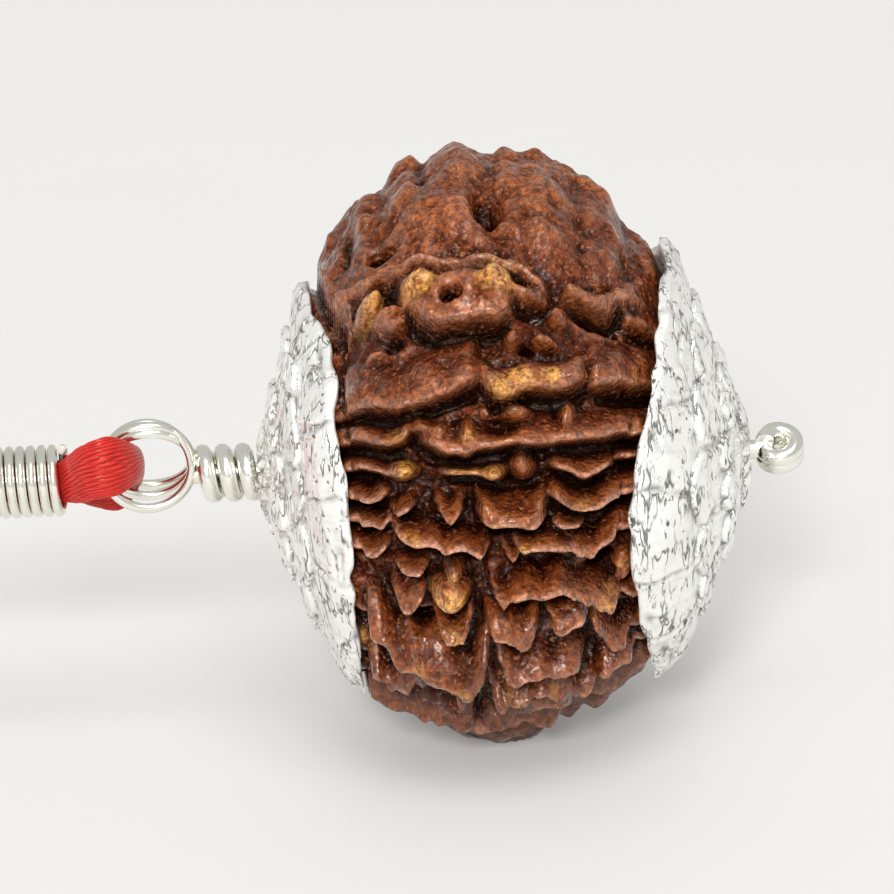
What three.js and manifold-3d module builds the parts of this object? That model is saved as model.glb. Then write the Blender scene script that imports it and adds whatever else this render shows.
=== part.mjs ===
// Rudraksha seed in two pressed silver end caps, strung on a silver wire that ends in a ring on
// one side and a small eye on the other. A folded bundle of red silk thread goes through the ring,
// its two halves bound together with fine silver wire, and runs on as a closed neck loop of cord.
// Millimetres, +Z up. X runs along the hole through the seed: -X towards the ring and the thread,
// +X towards the small eye. -Y is the side that is looked at. Z = 0 is the surface the seed rests
// on, and the origin is the middle of the small flat spot it rests with.
import * as THREE from 'three';
import { mergeVertices } from 'three/addons/utils/BufferGeometryUtils.js';
import Module from 'manifold-3d';

const wasm = await Module();
wasm.setup();

// Driving dimensions.

const AXIS_HEIGHT = 14.25;        // hole axis above the surface
const SEED_END_LEFT = 9.7;        // seed's length left and right of its middle
const SEED_END_RIGHT = 10.2;
const SEED_RADIUS = 14.85;        // mean radius over the crests of the ridges
const SEED_LEAN = 0.85;           // the seed is that much fuller above and leaner below
const ROUND_POWER = 0.5;          // roundness of the seed's outline seen from above
const GROOVE_DEPTH = 2.5;         // crests above the floor of the grooves
const BORE_RADIUS = 1.1;          // natural hole through the seed
const FLAT_RADIUS = 1.9;          // worn patch at the bottom, without grooves
const SWELL = 0.42;               // the crests round the worn patch reach the surface too
const VIEW_TILT = THREE.MathUtils.degToRad(17);   // ridge angles count from 17 degrees above -Y
const VIEW_DISTANCE = 260;        // eye's distance in the view that the ridges are laid out in
const ROLL = 0.0448;              // slope of the hole's line in that view

const GROUND = 0.75;              // rough ground between the ridges, above the groove floor
const SWAY = 0.15;                // how far lumps push the ridges off their drawn lines
const FRILL = 0.09;               // fine waves of the ridges' edges
const LOW_GROUND = 0.4;           // the ground between the frills of the lower half
const OUTLINE = 0.985;            // sine of the steepest crest angle that the view shows
const COVERED_LEFT = -5.9;        // crests that start or end past these run on under the caps
const COVERED_RIGHT = 6.6;

const CAP_SHEET = 0.45;           // silver sheet of the caps
const CAP_LOBES = 14;             // petals in each ring of the caps' relief
const CAP_RELIEF = 0.42;          // how far a petal's tip stands proud
const CLEARANCE = 0.32;           // air kept between pieces that touch

const WIRE = 0.94;                // thickness of the silver wire through the seed
const RING_WIRE = 0.5;            // the ring is made of thinner wire
const RING_RADIUS = 2.15;         // middle of the wire
const RING_TURNS = 3;
const RING_TILTS = [[0, 9], [0.5, 9], [1.5, -21], [2.5, -38], [3, -38]];   // [turn, degrees]
const BINDING_WIRE = 0.5;         // fine wire round the thread
const BINDING_RADIUS = 1.57;      // middle of the fine wire
const BINDING_PITCH = 0.535;
const BINDING_TURNS = 13;
const CORE_RADIUS = 0.98;         // red thread inside the binding
const CORD = 1.3;                 // one strand of the neck cord

// Small helpers.

const clamp = THREE.MathUtils.clamp;
const smooth = (x, a, b) => THREE.MathUtils.smoothstep(x, a, b);

// Same seed, same numbers: the draw that scatters the ridges on the far side.
function randomFrom(seed) {
  let state = seed;
  return () => {
    state = (state * 16807) % 2147483647;
    return state / 2147483647;
  };
}

// Random number between -1 and 1 that belongs to one cell of a grid.
function scatter([i, j, k], series) {
  let key = Math.imul(i, 73856093) ^ Math.imul(j, 19349663) ^ Math.imul(k, 83492791);
  key = Math.imul(key ^ (series * 977), 2654435761);
  key = Math.imul(key ^ (key >>> 15), 2246822519);
  return ((key ^ (key >>> 13)) & 0xFFFF) / 32767.5 - 1;
}

// Smooth random lumps between -1 and 1, about `size` mm apart.
function lumps(place, size, series) {
  const cell = place.map((v) => Math.floor(v / size));
  const part = place.map((v, i) => smooth(v / size - cell[i], 0, 1));
  let total = 0;
  for (let corner = 0; corner < 8; corner += 1) {
    const step = [corner & 1, (corner >> 1) & 1, (corner >> 2) & 1];
    const share = part.reduce((product, t, i) => product * (step[i] ? t : 1 - t), 1);
    total += share * scatter(cell.map((v, i) => v + step[i]), series);
  }
  return total;
}

// Value at x of a line through points [[x, value], ...], rounded between the points.
function along(points, x) {
  const last = points.length - 1;
  if (x <= points[0][0]) return points[0][1];
  if (x >= points[last][0]) return points[last][1];
  let i = 1;
  while (points[i][0] < x) i += 1;
  const [x0, y0] = points[i - 1];
  const [x1, y1] = points[i];
  const t = (x - x0) / (x1 - x0);
  return y0 + (y1 - y0) * (t * 0.4 + t * t * (3 - 2 * t) * 0.6);
}

// Closed body from rings of points that each join the next, the last one joined to the first.
function closedRings(rings) {
  const count = rings[0].length;
  const positions = rings.flat().flatMap((p) => [p.x, p.y, p.z]);
  const index = [];
  rings.forEach((ring, i) => {
    const here = i * count;
    const next = ((i + 1) % rings.length) * count;
    for (let j = 0; j < count; j += 1) {
      const k = (j + 1) % count;
      index.push(here + j, here + k, next + j);
      index.push(here + k, next + k, next + j);
    }
  });
  const geometry = new THREE.BufferGeometry();
  geometry.setAttribute('position', new THREE.Float32BufferAttribute(positions, 3));
  geometry.setIndex(index);
  return geometry;
}

// The seed.

// Share of the middle's radius that the seed has left at x. Above and below, the seed keeps its
// width nearly up to the caps; at the front and at the back it rounds off towards them.
function fullness(x, angle) {
  const end = x < 0 ? SEED_END_LEFT : SEED_END_RIGHT;
  const square = x < 0 ? 0.27 : 0.34;
  const power = square + (ROUND_POWER - square) * Math.cos(angle) ** 2;
  return Math.pow(Math.max(1 - (x / end) ** 2, 0), power);
}

function crestRadius(x, angle) {
  return fullness(x, angle) * (SEED_RADIUS + SEED_LEAN * Math.sin(angle));
}

// Place on the crests, [x, angle], of a point that shows x along the hole and s above it in the
// reference view, where the hole's line falls to the left by ROLL and near things look larger.
function seenAt(x, s) {
  const leant = x + ROLL * s;
  let near = 1;
  let angle = 0;
  for (let i = 0; i < 5; i += 1) {
    const radius = crestRadius(leant * near, angle);
    angle = Math.asin(clamp(s * near / radius, -OUTLINE, OUTLINE));
    near = 1 - radius * Math.cos(angle) / VIEW_DISTANCE;
  }
  return [leant * near, angle];
}

// A ridge: its crest is a line of points [x, s]; it rises `rise` over the groove floor, slopes
// away over `up` mm above the crest and over `down` mm below it, and its ends are rounded. The
// larger `face` is, the flatter the plate above the crest. A crest that comes near a cap runs on
// under it.
function ridge(seen, rise, up, down, ends = 0.4, face = 0) {
  const crest = seen.map(([x, s]) => seenAt(x, s));
  const last = crest[crest.length - 1];
  if (crest[0][0] < COVERED_LEFT) crest[0][0] -= 1.6;
  if (last[0] > COVERED_RIGHT) last[0] += 1.4;
  return { crest, rise, up, down, ends, face };
}

// A round knob or, with a negative rise, a pit.
function knob(seenX, seenS, alongX, across, rise) {
  const [x, angle] = seenAt(seenX, seenS);
  return { x, angle, alongX, across, rise };
}

// The ridges on the side that is looked at, from the top down, as they show in that view.
const FRONT_RIDGES = [
  ridge([[-7.0, 9.6], [-6.1, 9.5], [-5.5, 9.9], [-4.6, 10.0], [-4.1, 10.3], [-3.6, 10.6], [-2.4,
    10.4], [-1.0, 10.3], [0.3, 10.35], [1.2, 10.0], [2.2, 9.4], [3.0, 9.1]], 2.2, 1.4, 0.4),
  ridge([[-4.75, 8.9], [-4.3, 8.2], [-3.5, 7.7], [-2.5, 7.35], [-1.4, 7.5], [-0.5, 7.7], [0.3,
    7.6], [0.9, 8.0], [1.2, 8.6]], 2.5, 2.7, 0.35, 0.4, 4),
  ridge([[1.1, 9.0], [1.6, 8.7], [2.3, 8.6], [3.0, 8.7]], 2.2, 0.9, 0.4, 0.4, 2),
  ridge([[-8.4, 8.6], [-7.4, 8.6], [-6.9, 8.3]], 1.8, 2.4, 0.8),
  ridge([[-5.7, 7.3], [-4.9, 7.2], [-4.4, 7.5], [-4.15, 8.0]], 2.3, 0.7, 0.35),
  ridge([[3.6, 8.9], [4.4, 8.4], [5.2, 8.1], [5.8, 7.85], [6.3, 8.2], [6.6, 8.8]], 2.4, 1.3, 0.35,
    0.4, 2.5),
  ridge([[6.4, 7.5], [7.2, 7.0], [8.4, 6.8]], 2.1, 2.3, 0.5, 0.4, 2.5),
  ridge([[-6.35, 5.45], [-5.9, 5.75], [-5.2, 6.1]], 2.1, 0.4, 0.35),
  ridge([[-7.2, 3.35], [-6.2, 3.15], [-5, 3.05], [-4.2, 3.2], [-3, 3.45], [-2, 3.75], [-1.2,
    4.05], [-0.5, 4.35]], 2.4, 3.6, 0.35),
  ridge([[-0.6, 4.5], [-0.2, 3.9], [0.15, 3.45], [0.6, 3.3], [1.2, 3.4], [1.8, 3.75], [2.4, 3.7],
    [3, 3.6], [3.8, 3.7], [4.4, 3.95], [4.85, 4.4]], 2.6, 1.95, 0.35, 0.4, 3),
  ridge([[4.8, 3.85], [6, 3.75], [7, 3.8], [8.2, 3.9]], 2.3, 3.3, 0.35, 0.4, 2.5),
  ridge([[-7.1, 1.8], [-6.4, 1.4], [-5.6, 1.2], [-5.0, 1.15], [-4.4, 1.35], [-3.95, 1.9]], 2.4,
    1.3, 0.35),
  ridge([[-4.0, 1.95], [-3.5, 1.25], [-2.8, 0.8], [-2.2, 0.65], [-1.6, 0.7], [-1.1, 0.55], [-0.6,
    0.8], [0, 0.75], [2.2, 0.85], [4, 0.95], [6, 1.1], [8, 1.5]], 2.4, 1.9, 0.35),
  ridge([[-6.9, 0.1], [-5.9, -0.2], [-5.2, -0.5], [-4.8, -0.5]], 2.0, 0.8, 0.35),
  ridge([[-2.5, -0.45], [-1.5, -0.5], [-0.6, -0.6], [0, -0.85], [0.6, -0.6]], 2.4, 0.5, 0.35, 0.4,
    2),
  ridge([[3.0, -0.2], [3.9, -0.55], [4.4, -0.95], [4.8, -1.0], [5.3, -0.75], [6.1, -0.25]], 2.4,
    1.0, 0.4),
  ridge([[6.1, 0.05], [7.0, -0.05], [8.0, 0.2]], 2.0, 0.5, 0.4),
  ridge([[-6.7, -1.4], [-6.1, -1.95], [-5.6, -1.75], [-5.0, -1.45]], 2.2, 0.9, 0.35),
  ridge([[-5.05, -2.3], [-4.7, -2.85], [-4.2, -2.5], [-3.8, -2.2]], 2.3, 1.1, 0.35),
  ridge([[-2.8, -2.1], [-2.4, -2.9], [-2.0, -3.25], [-1.6, -2.8], [-1.35, -2.1]], 2.4, 1.3, 0.35),
  ridge([[-0.75, -2.5], [-0.45, -3.25], [0.2, -3.55], [1.2, -3.4], [2.2, -3.45], [2.65, -3.1],
    [2.85, -2.4]], 2.5, 1.8, 0.35, 0.4, 4),
  ridge([[2.9, -2.0], [4.1, -2.7], [4.9, -2.75], [5.6, -2.55], [6.3, -2.3], [7.8, -1.6]], 2.3,
    1.3, 0.35),
  ridge([[-6.6, -2.9], [-5.9, -3.2], [-5.5, -3.5], [-5.0, -3.0]], 2.1, 0.8, 0.35),
  ridge([[-5.0, -3.6], [-4.4, -4.0], [-3.6, -4.2], [-2.8, -4.3], [-2.4, -4.7], [-1.3, -4.7],
    [-0.6, -5.0], [-0.25, -5.0], [0.0, -4.4]], 2.4, 1.2, 0.35),
  ridge([[1.2, -4.0], [1.4, -4.6], [1.8, -4.85], [2.3, -4.6], [3, -4.65], [3.9, -4.75], [4.4,
    -5.1], [5.1, -5.25], [5.7, -4.6], [6.3, -4.15], [7.6, -3.8]], 2.4, 1.1, 0.35),
  ridge([[3.0, -3.5], [3.8, -3.7], [4.7, -3.75]], 2.0, 0.8, 0.35),
  ridge([[0.75, -5.0], [1.2, -5.6], [1.75, -5.1]], 2.1, 0.8, 0.35),
  ridge([[-6.9, -4.2], [-6.2, -4.7], [-5.1, -4.6]], 2.0, 0.8, 0.35),
  ridge([[-4.8, -5.7], [-4.2, -5.95], [-3.1, -5.85]], 2.0, 0.7, 0.35),
  ridge([[-4.9, -6.9], [-4.4, -7.6], [-3.9, -7.65], [-3.1, -7.0]], 2.2, 1.2, 0.35, 0.4, 2),
  ridge([[0, -6.9], [0.4, -7.6], [0.75, -7.75], [1.2, -7.3], [1.9, -7.2], [2.7, -7.4], [3.2,
    -7.2], [3.7, -7.1], [4.3, -7.5], [4.8, -7.8], [5.5, -8.0], [6.2, -8.0], [6.6, -7.3]], 2.4,
    1.2, 0.35),
  ridge([[6.3, -7.9], [7.2, -7.9], [8.0, -7.6]], 2.0, 0.6, 0.35),
  ridge([[-2.8, -8.4], [-2.4, -9.1], [-1.7, -9.4], [-1.1, -9.2], [-0.75, -8.5]], 2.4, 1.3, 0.35,
    0.4, 2.5),
  ridge([[-0.3, -8.7], [0, -9.15], [0.8, -9.2], [1.4, -9.6], [1.9, -9.75], [2.3, -9.4], [2.45,
    -8.6]], 2.4, 1.8, 0.35, 0.4, 4),
  ridge([[2.75, -8.3], [3.1, -9.2], [3.5, -9.1], [4.2, -8.8], [5.1, -8.5]], 2.4, 1.4, 0.35, 0.4,
    2.5),
  ridge([[5.1, -9.4], [6.1, -10.1], [6.6, -10.0], [7.9, -9.5]], 2.3, 1.1, 0.35),
  ridge([[-6.1, -7.9], [-5.5, -8.9], [-5.0, -9.8], [-4.5, -10.4], [-3.8, -10.6], [-3.4, -11.0],
    [-2.6, -11.2], [-2.0, -11.5], [-1.4, -11.95], [-0.9, -12.0], [-0.2, -11.5], [0.15, -10.7]],
    2.5, 2.7, 0.35, 0.4, 2.2),
  ridge([[0.35, -10.6], [0.9, -11.5], [1.4, -11.65], [2.0, -11.4], [2.5, -11.2], [3.2, -11.3],
    [3.7, -11.0], [4.8, -10.8]], 2.4, 1.5, 0.35),
  ridge([[-6.9, -9.0], [-6.2, -10.5], [-5.5, -11.0], [-5.0, -11.6], [-4.0, -11.8], [-3.4, -11.4],
    [-2.8, -11.3], [-2.4, -11.6], [-2.0, -12.1], [-1.5, -12.8], [-1.1, -12.95], [-0.7, -12.3]],
    2.4, 1.4, 0.35),
  ridge([[-0.1, -12.0], [0.3, -12.8], [0.9, -12.9], [1.3, -12.65], [2, -12.6], [2.6, -12.2], [3.2,
    -12.3], [4.6, -12.35], [5.2, -12.0], [5.6, -11.4], [6.3, -10.9], [7.5, -10.4]], 2.4, 1.4,
    0.35),
  ridge([[-6.9, -10.7], [-5.8, -12.2], [-5, -12.9], [-3.9, -13.5], [-2.8, -13.4]], 2.3, 1.5, 0.5),
  ridge([[-3.0, -13.7], [-1.5, -14.3], [-0.6, -13.8]], 2.4, 1.6, 0.5),
  ridge([[-0.5, -14.0], [0.5, -14.3], [2.5, -12.9], [4.4, -12.7]], 2.3, 1.5, 0.5),
];

// Rounded knobs on the ridges, and pits (negative rise) eaten into them.
const FRONT_KNOBS = [
  knob(-4.6, 14.1, 0.65, 1.3, 2.6),
  knob(-6.5, 12.6, 0.9, 0.9, 2.5),
  knob(5.7, 13.1, 0.8, 0.8, 2.9),
  knob(-4.7, 12.0, 0.8, 0.5, 2.6),
  knob(-1.7, 8.7, 2.9, 1.45, 2.6),
  knob(-3.6, 9.3, 1.2, 1.1, 2.95),
  knob(0.3, 9.3, 1.1, 1.3, 3.0),
  knob(-6.15, 8.25, 0.95, 1.0, 2.8),
  knob(-7.6, 7.0, 0.65, 0.7, 2.4),
  knob(7.3, 8.1, 1.0, 1.4, 2.5),
  knob(3.4, 7.6, 0.5, 0.6, 2.1),
  knob(1.1, 6.5, 0.4, 0.75, 2.2),
  knob(2.7, 6.3, 0.75, 0.4, 2.1),
  knob(-1.1, 1.4, 0.45, 1.1, 2.8),
  knob(-2.6, 1.6, 0.6, 0.6, 2.5),
  knob(1.3, 2.5, 0.85, 0.65, 2.5),
  knob(3.9, 2.2, 0.45, 1.1, 2.5),
  knob(-4.4, -0.3, 0.9, 0.65, 2.7),
  knob(0.25, -0.6, 0.55, 0.5, 2.7),
  knob(1.7, -0.3, 0.7, 0.85, 2.5),
  knob(-0.25, -2.5, 0.35, 0.9, 2.7),
  knob(-1.95, -7.0, 1.1, 1.2, 2.8),
  knob(-1.8, -5.8, 0.55, 0.9, 2.5),
  knob(6.75, -6.4, 0.5, 1.0, 2.5),
  knob(-2.0, 8.8, 0.6, 0.55, -2.6),
  knob(-5.1, 8.5, 0.45, 0.8, -1.6),
  knob(-5.4, 11.2, 0.8, 0.8, -2.2),
  knob(-0.3, 13.1, 0.55, 1.5, -2.5),
  knob(-7.2, 11.8, 0.3, 1.6, -1.2),
  knob(5.2, 7.45, 1.1, 0.45, -1.6),
  knob(1.75, 6.1, 0.3, 0.35, -1.4),
  knob(-3.6, 1.3, 0.5, 0.5, -1.2),
  knob(0.6, 1.7, 0.8, 0.6, -0.7),
  knob(1.3, -2.4, 1.1, 0.6, -0.6),
  knob(5.5, -6.5, 0.55, 0.5, -2.3),
  knob(-3.3, -9.2, 0.75, 0.75, -2.2),
  knob(-3.5, 15.2, 0.25, 6.0, -1.1),
];

// Height of the broad face at the top, along the seed.
const BROW = [[-9.5, 1.0], [-8.0, 1.3], [-6.9, 1.7], [-5.9, 2.0], [-4.9, 1.8], [-3.8, 2.3],
  [-3.2, 2.3], [-2.3, 2.3], [-1.3, 2.8], [-0.7, 2.85], [0, 2.4], [0.7, 1.9], [1.7, 2.2],
  [2.2, 2.0], [2.7, 2.2], [4.2, 2.1], [4.9, 1.8], [5.6, 2.2], [6.5, 2.4], [7.0, 1.6],
  [7.5, 1.8], [8.2, 2.1], [9.5, 1.8]];

// The far side: ridges run from cap to cap, wavy, and each dips here and there.
const FAR_RIDGES = 18;
const FAR_START = THREE.MathUtils.degToRad(97);
const FAR_END = THREE.MathUtils.degToRad(281);

function farRidges() {
  const random = randomFrom(2741);
  const step = (FAR_END - FAR_START) / FAR_RIDGES;
  const ridges = [];
  for (let i = 0; i < FAR_RIDGES; i += 1) {
    const middle = FAR_START + (i + 0.5 + (random() - 0.5) * 0.25) * step;
    const crest = [];
    const heights = [];
    for (let x = -9.6; x < 9.7; x += 1.2) {
      crest.push([x, middle + (random() - 0.5) * 0.07]);
      heights.push([x, random() < 0.2 ? 1.1 : 1.8 + random() * 0.6]);
    }
    ridges.push({ crest, heights, up: 1.7, down: 0.6, ends: 0.6, face: 0.9 });
  }
  return ridges;
}

const FAR = farRidges();
const RIDGES = [...FRONT_RIDGES, ...FAR];

// A ridge falls steeply below its crest, and slopes away above it in a bulging face.
function ridgeHeight(item, x, angle, radius) {
  const start = item.crest[0][0];
  const end = item.crest[item.crest.length - 1][0];
  const inside = Math.min(x - start, end - x) / item.ends;
  if (inside <= 0) return 0;
  const rounded = inside < 1 ? Math.sqrt(1 - (1 - inside) ** 2) : 1;
  const above = radius * (angle - along(item.crest, x));
  const reach = above >= 0 ? item.up : item.down;
  const away = Math.min(Math.abs(above) / reach, 1);
  const face = item.face || 1.45 + 0.15 * smooth(Math.sin(angle), -0.1, 0.25);
  const bulge = above >= 0 ? face : 1.6;
  const rise = item.heights ? along(item.heights, x) : item.rise;
  return rise * rounded * (1 - away ** bulge);
}

function knobHeight(item, x, angle, radius) {
  const away = ((x - item.x) / item.alongX) ** 2
    + (radius * (angle - item.angle) / item.across) ** 2;
  return away >= 1 ? 0 : item.rise * Math.sqrt(1 - away);
}

// The furrow that runs just below a ridge's edge.
function furrowDepth(item, x, angle, radius) {
  const start = item.crest[0][0];
  const end = item.crest[item.crest.length - 1][0];
  const inside = smooth(Math.min(x - start, end - x), 0, 0.8);
  const below = -radius * (angle - along(item.crest, x)) - item.down - 0.15;
  return inside * Math.max(1 - (below / 0.45) ** 2, 0);
}

// Rough ground between the ridges, which rises to the broad face at the top.
function groundHeight(x, place, topShare, lowShare) {
  const floor = GROUND + (LOW_GROUND - GROUND) * lowShare;
  const level = floor + (along(BROW, x) - floor) * topShare;
  return level + (0.35 + 0.2 * topShare) * lumps(place, 1.35, 13) + 0.2 * lumps(place, 0.6, 14);
}

// 0 on the upper half of the side that is looked at, 1 on its lower half.
function lowerSide(angle) {
  return smooth(-Math.sin(angle), -0.12, 0.12) * smooth(Math.cos(angle), -0.1, 0.1);
}

// Height of the surface above the groove floor.
function relief(xHere, angleHere) {
  const crest = crestRadius(xHere, angleHere);
  const place = [xHere, -crest * Math.cos(angleHere), crest * Math.sin(angleHere)];
  const x = xHere + SWAY * lumps(place, 1.7, 11);
  const radius = crestRadius(x, angleHere);
  const swayed = angleHere + SWAY * lumps(place, 1.5, 12) / Math.max(radius, 3);
  const topShare = smooth(swayed, 0.66, 0.86) * (1 - smooth(swayed, 1.6, 1.75));
  const lowShare = lowerSide(swayed);
  const frill = FRILL * lumps(place, 0.9, 18) * (1 - 0.6 * topShare);
  const angle = swayed + frill / Math.max(radius, 3);
  let height = 0;
  let furrow = 0;
  for (const item of RIDGES) height = Math.max(height, ridgeHeight(item, x, angle, radius));
  for (const item of FRONT_RIDGES) {
    furrow = Math.max(furrow, furrowDepth(item, x, angle, radius));
  }
  height *= 1 + (0.13 - 0.05 * lowShare) * lumps(place, 1, 15);
  const ground = groundHeight(x, place, topShare, lowShare);
  height = Math.max(height, ground - furrow * (1 - topShare));
  for (const item of FRONT_KNOBS) {
    const bump = knobHeight(item, x, angle, radius);
    height = item.rise > 0 ? Math.max(height, bump) : height + bump;
  }
  return height;
}

// Distance from the hole's line to the seed's surface. Round the flat spot at the bottom the
// grooves are shallow, and the crests come down to the surface that the seed lies on.
function seedRadius(x, angle) {
  const around = angle + VIEW_TILT;
  const radius = crestRadius(x, angle);
  const fromBottom = Math.acos(clamp(-Math.sin(around), -1, 1));
  const fromFlat = Math.hypot(x, radius * fromBottom);
  const nearFlat = 0.4 + 0.6 * smooth(fromFlat, FLAT_RADIUS, FLAT_RADIUS * 3.5);
  const kept = nearFlat * (1 + 0.2 * lowerSide(angle));
  const depth = GROOVE_DEPTH * smooth(fullness(x, angle), 0.15, 0.75) * kept;
  const carved = radius - depth + relief(x, angle) * depth / GROOVE_DEPTH;
  const swollen = carved + SWELL * (1 - smooth(fromFlat, FLAT_RADIUS, FLAT_RADIUS * 4));
  const worn = 1 - smooth(fromFlat, FLAT_RADIUS, FLAT_RADIUS * 1.5);
  const radiusHere = swollen + (radius + SWELL - swollen) * worn;
  return Math.max(Math.min(radiusHere, capRoom(x, around)), BORE_RADIUS + 0.05);
}

// The caps.

// Cross-section of a cap's outside: [share of the rim's radius, share of the cap's depth].
const CAP_SECTION = [[0.07, 1.0], [0.15, 0.96], [0.25, 0.86], [0.4, 0.71], [0.5, 0.59],
  [0.65, 0.45], [0.78, 0.34], [0.9, 0.24], [0.97, 0.12], [1.0, 0]];
const CAP_ROWS = [0.26, 0.5, 0.76, 1.0];   // where each ring of petals ends

const BACK_REACH = 0.95;
const CAPS = {
  left: {
    side: -1,
    rimX: 7.85,
    rimRadius: 10.1,
    depth: 3.9,
    drop: -0.75,
    tilt: 0.085,
    turn: 0.1,
    reach: 1.2,
    toward: 0.25,
    power: 1,
  },
  right: {
    side: 1,
    rimX: 8.65,
    rimRadius: 10.75,
    depth: 4.25,
    drop: 0.1,
    tilt: -0.01,
    turn: 0.3,
    reach: 2.4,
    toward: -0.18,
    power: 2,
  },
};

// The rim reaches further over the seed at the front and at the back than above and below.
function rimReach(cap, around) {
  const front = cap.reach * Math.max(Math.cos(around - cap.toward), 0) ** cap.power;
  return front + BACK_REACH * Math.max(-Math.cos(around), 0) ** 2;
}

function petals(cap, share, around) {
  let row = 0;
  while (row < CAP_ROWS.length - 1 && share > CAP_ROWS[row] + 1e-6) row += 1;
  const start = row ? CAP_ROWS[row - 1] : 0.07;
  const place = clamp((share - start) / (CAP_ROWS[row] - start), 0, 1);
  const lobe = Math.cos(CAP_LOBES * around / 2 + cap.turn + row * Math.PI / 2) ** 2;
  return CAP_RELIEF * (0.15 + 0.85 * place) * (0.25 + 0.75 * Math.sqrt(lobe));
}

function capPoint(cap, share, around, lift) {
  const rise = along(CAP_SECTION, share) * cap.depth;
  const radius = share * cap.rimRadius + lift * share;
  const y = -Math.cos(around) * radius;
  const z = Math.sin(around) * radius;
  const lifted = lift * (1 - share ** 3) * 0.9;
  const out = cap.rimX + rise + lifted - rimReach(cap, around) * share ** 6;
  const x = cap.side * out - cap.tilt * z * share;
  return new THREE.Vector3(x, y, AXIS_HEIGHT + z + cap.drop * share ** 1.5);
}

// How far out from the axis the seed may reach at x before it would touch the cap over it.
function capRoom(x, around) {
  const cap = x < 0 ? CAPS.left : CAPS.right;
  const underside = CAP_SECTION.map(([share]) => {
    const p = capPoint(cap, share, around, -CAP_SHEET - CLEARANCE);
    return [Math.abs(p.x), Math.hypot(p.y, p.z - AXIS_HEIGHT)];
  }).reverse();
  const beforeRim = underside[0][0] - Math.abs(x);
  if (beforeRim > 0) return underside[0][1] + 9 * smooth(beforeRim, 0.3, 0.7);
  return along(underside, Math.abs(x));
}

function capGeometry(cap) {
  const sectors = CAP_LOBES * 4;
  const outside = [0.07, 0.15, 0.255, 0.27, 0.38, 0.495, 0.515, 0.64, 0.755, 0.78, 0.9, 1.0];
  const inside = [0.97, 0.86, 0.6, 0.07];
  const ring = (share, lift) => {
    const points = [];
    for (let i = 0; i < sectors; i += 1) {
      const around = (i / sectors) * 2 * Math.PI;
      const rise = lift === null ? petals(cap, share, around) : lift;
      points.push(capPoint(cap, share, around, rise));
    }
    return points;
  };
  const rings = [...outside.map((share) => ring(share, null)),
    ...inside.map((share) => ring(share, -CAP_SHEET))];
  return closedRings(cap.side < 0 ? rings.reverse() : rings);
}

// Seed body.

const NEAR_LINES = 86;            // surface lines from cap to cap on the side that is looked at
const NEAR_START = THREE.MathUtils.degToRad(-79);
const NEAR_END = THREE.MathUtils.degToRad(95);
const FAR_LINES = [0, 0.3, 0.75];   // shares of the way from one far crest to the next
const ACROSS = 30;                // steps from one end of the seed to the other

// Angles of the surface lines at x: even in front, along the crests on the far side.
function lineAngles(x) {
  const angles = [];
  for (let i = 0; i <= NEAR_LINES; i += 1) {
    angles.push(NEAR_START + (NEAR_END - NEAR_START) * i / NEAR_LINES);
  }
  const crests = FAR.map((item) => along(item.crest, x));
  crests.push(NEAR_START + 2 * Math.PI);
  for (let i = 0; i < FAR_RIDGES; i += 1) {
    for (const share of FAR_LINES) angles.push(crests[i] + share * (crests[i + 1] - crests[i]));
  }
  return angles;
}

function seedGeometry() {
  const rings = [];
  for (let i = 0; i <= ACROSS; i += 1) {
    const t = (i / ACROSS) * 2 - 1;
    const end = t < 0 ? SEED_END_LEFT : SEED_END_RIGHT;
    const x = 0.996 * end * Math.sin(t * 1.46) / Math.sin(1.46);
    rings.push(lineAngles(x).map((angle) => {
      const radius = seedRadius(x, angle);
      const around = angle + VIEW_TILT;
      const z = AXIS_HEIGHT + radius * Math.sin(around);
      return new THREE.Vector3(x, -radius * Math.cos(around), Math.max(z, 0));
    }));
  }
  for (const x of [SEED_END_RIGHT * 0.985, -SEED_END_LEFT * 0.985]) {
    rings.push(lineAngles(x).map((angle) => new THREE.Vector3(x,
      -BORE_RADIUS * Math.cos(angle + VIEW_TILT),
      AXIS_HEIGHT + BORE_RADIUS * Math.sin(angle + VIEW_TILT))));
  }
  return closedRings(rings.reverse());
}

// Wires, thread and cord.

function roundSection(radius, sides, tall = 1) {
  const points = [];
  for (let i = 0; i < sides; i += 1) {
    const a = (i / sides) * 2 * Math.PI;
    points.push(new THREE.Vector2(radius * Math.cos(a), radius * tall * Math.sin(a)));
  }
  return new THREE.Shape(points);
}

function tube(path, radius, sides, steps) {
  const curve = new THREE.CatmullRomCurve3(path, false, 'centripetal');
  const options = { steps, bevelEnabled: false, extrudePath: curve };
  return new THREE.ExtrudeGeometry(roundSection(radius, sides), options);
}

function bare(geometry) {
  const copy = geometry.index ? geometry.toNonIndexed() : geometry.clone();
  for (const name of Object.keys(copy.attributes)) {
    if (name !== 'position') copy.deleteAttribute(name);
  }
  return mergeVertices(copy, 1e-4);
}

function toManifold(geometry) {
  const clean = bare(geometry);
  return new wasm.Manifold(new wasm.Mesh({
    numProp: 3,
    vertProperties: new Float32Array(clean.attributes.position.array),
    triVerts: new Uint32Array(clean.index.array),
  }));
}

function fromManifold(solid) {
  const mesh = solid.getMesh();
  const geometry = new THREE.BufferGeometry();
  geometry.setAttribute('position', new THREE.Float32BufferAttribute(mesh.vertProperties, 3));
  geometry.setIndex(Array.from(mesh.triVerts));
  return geometry;
}

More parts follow.
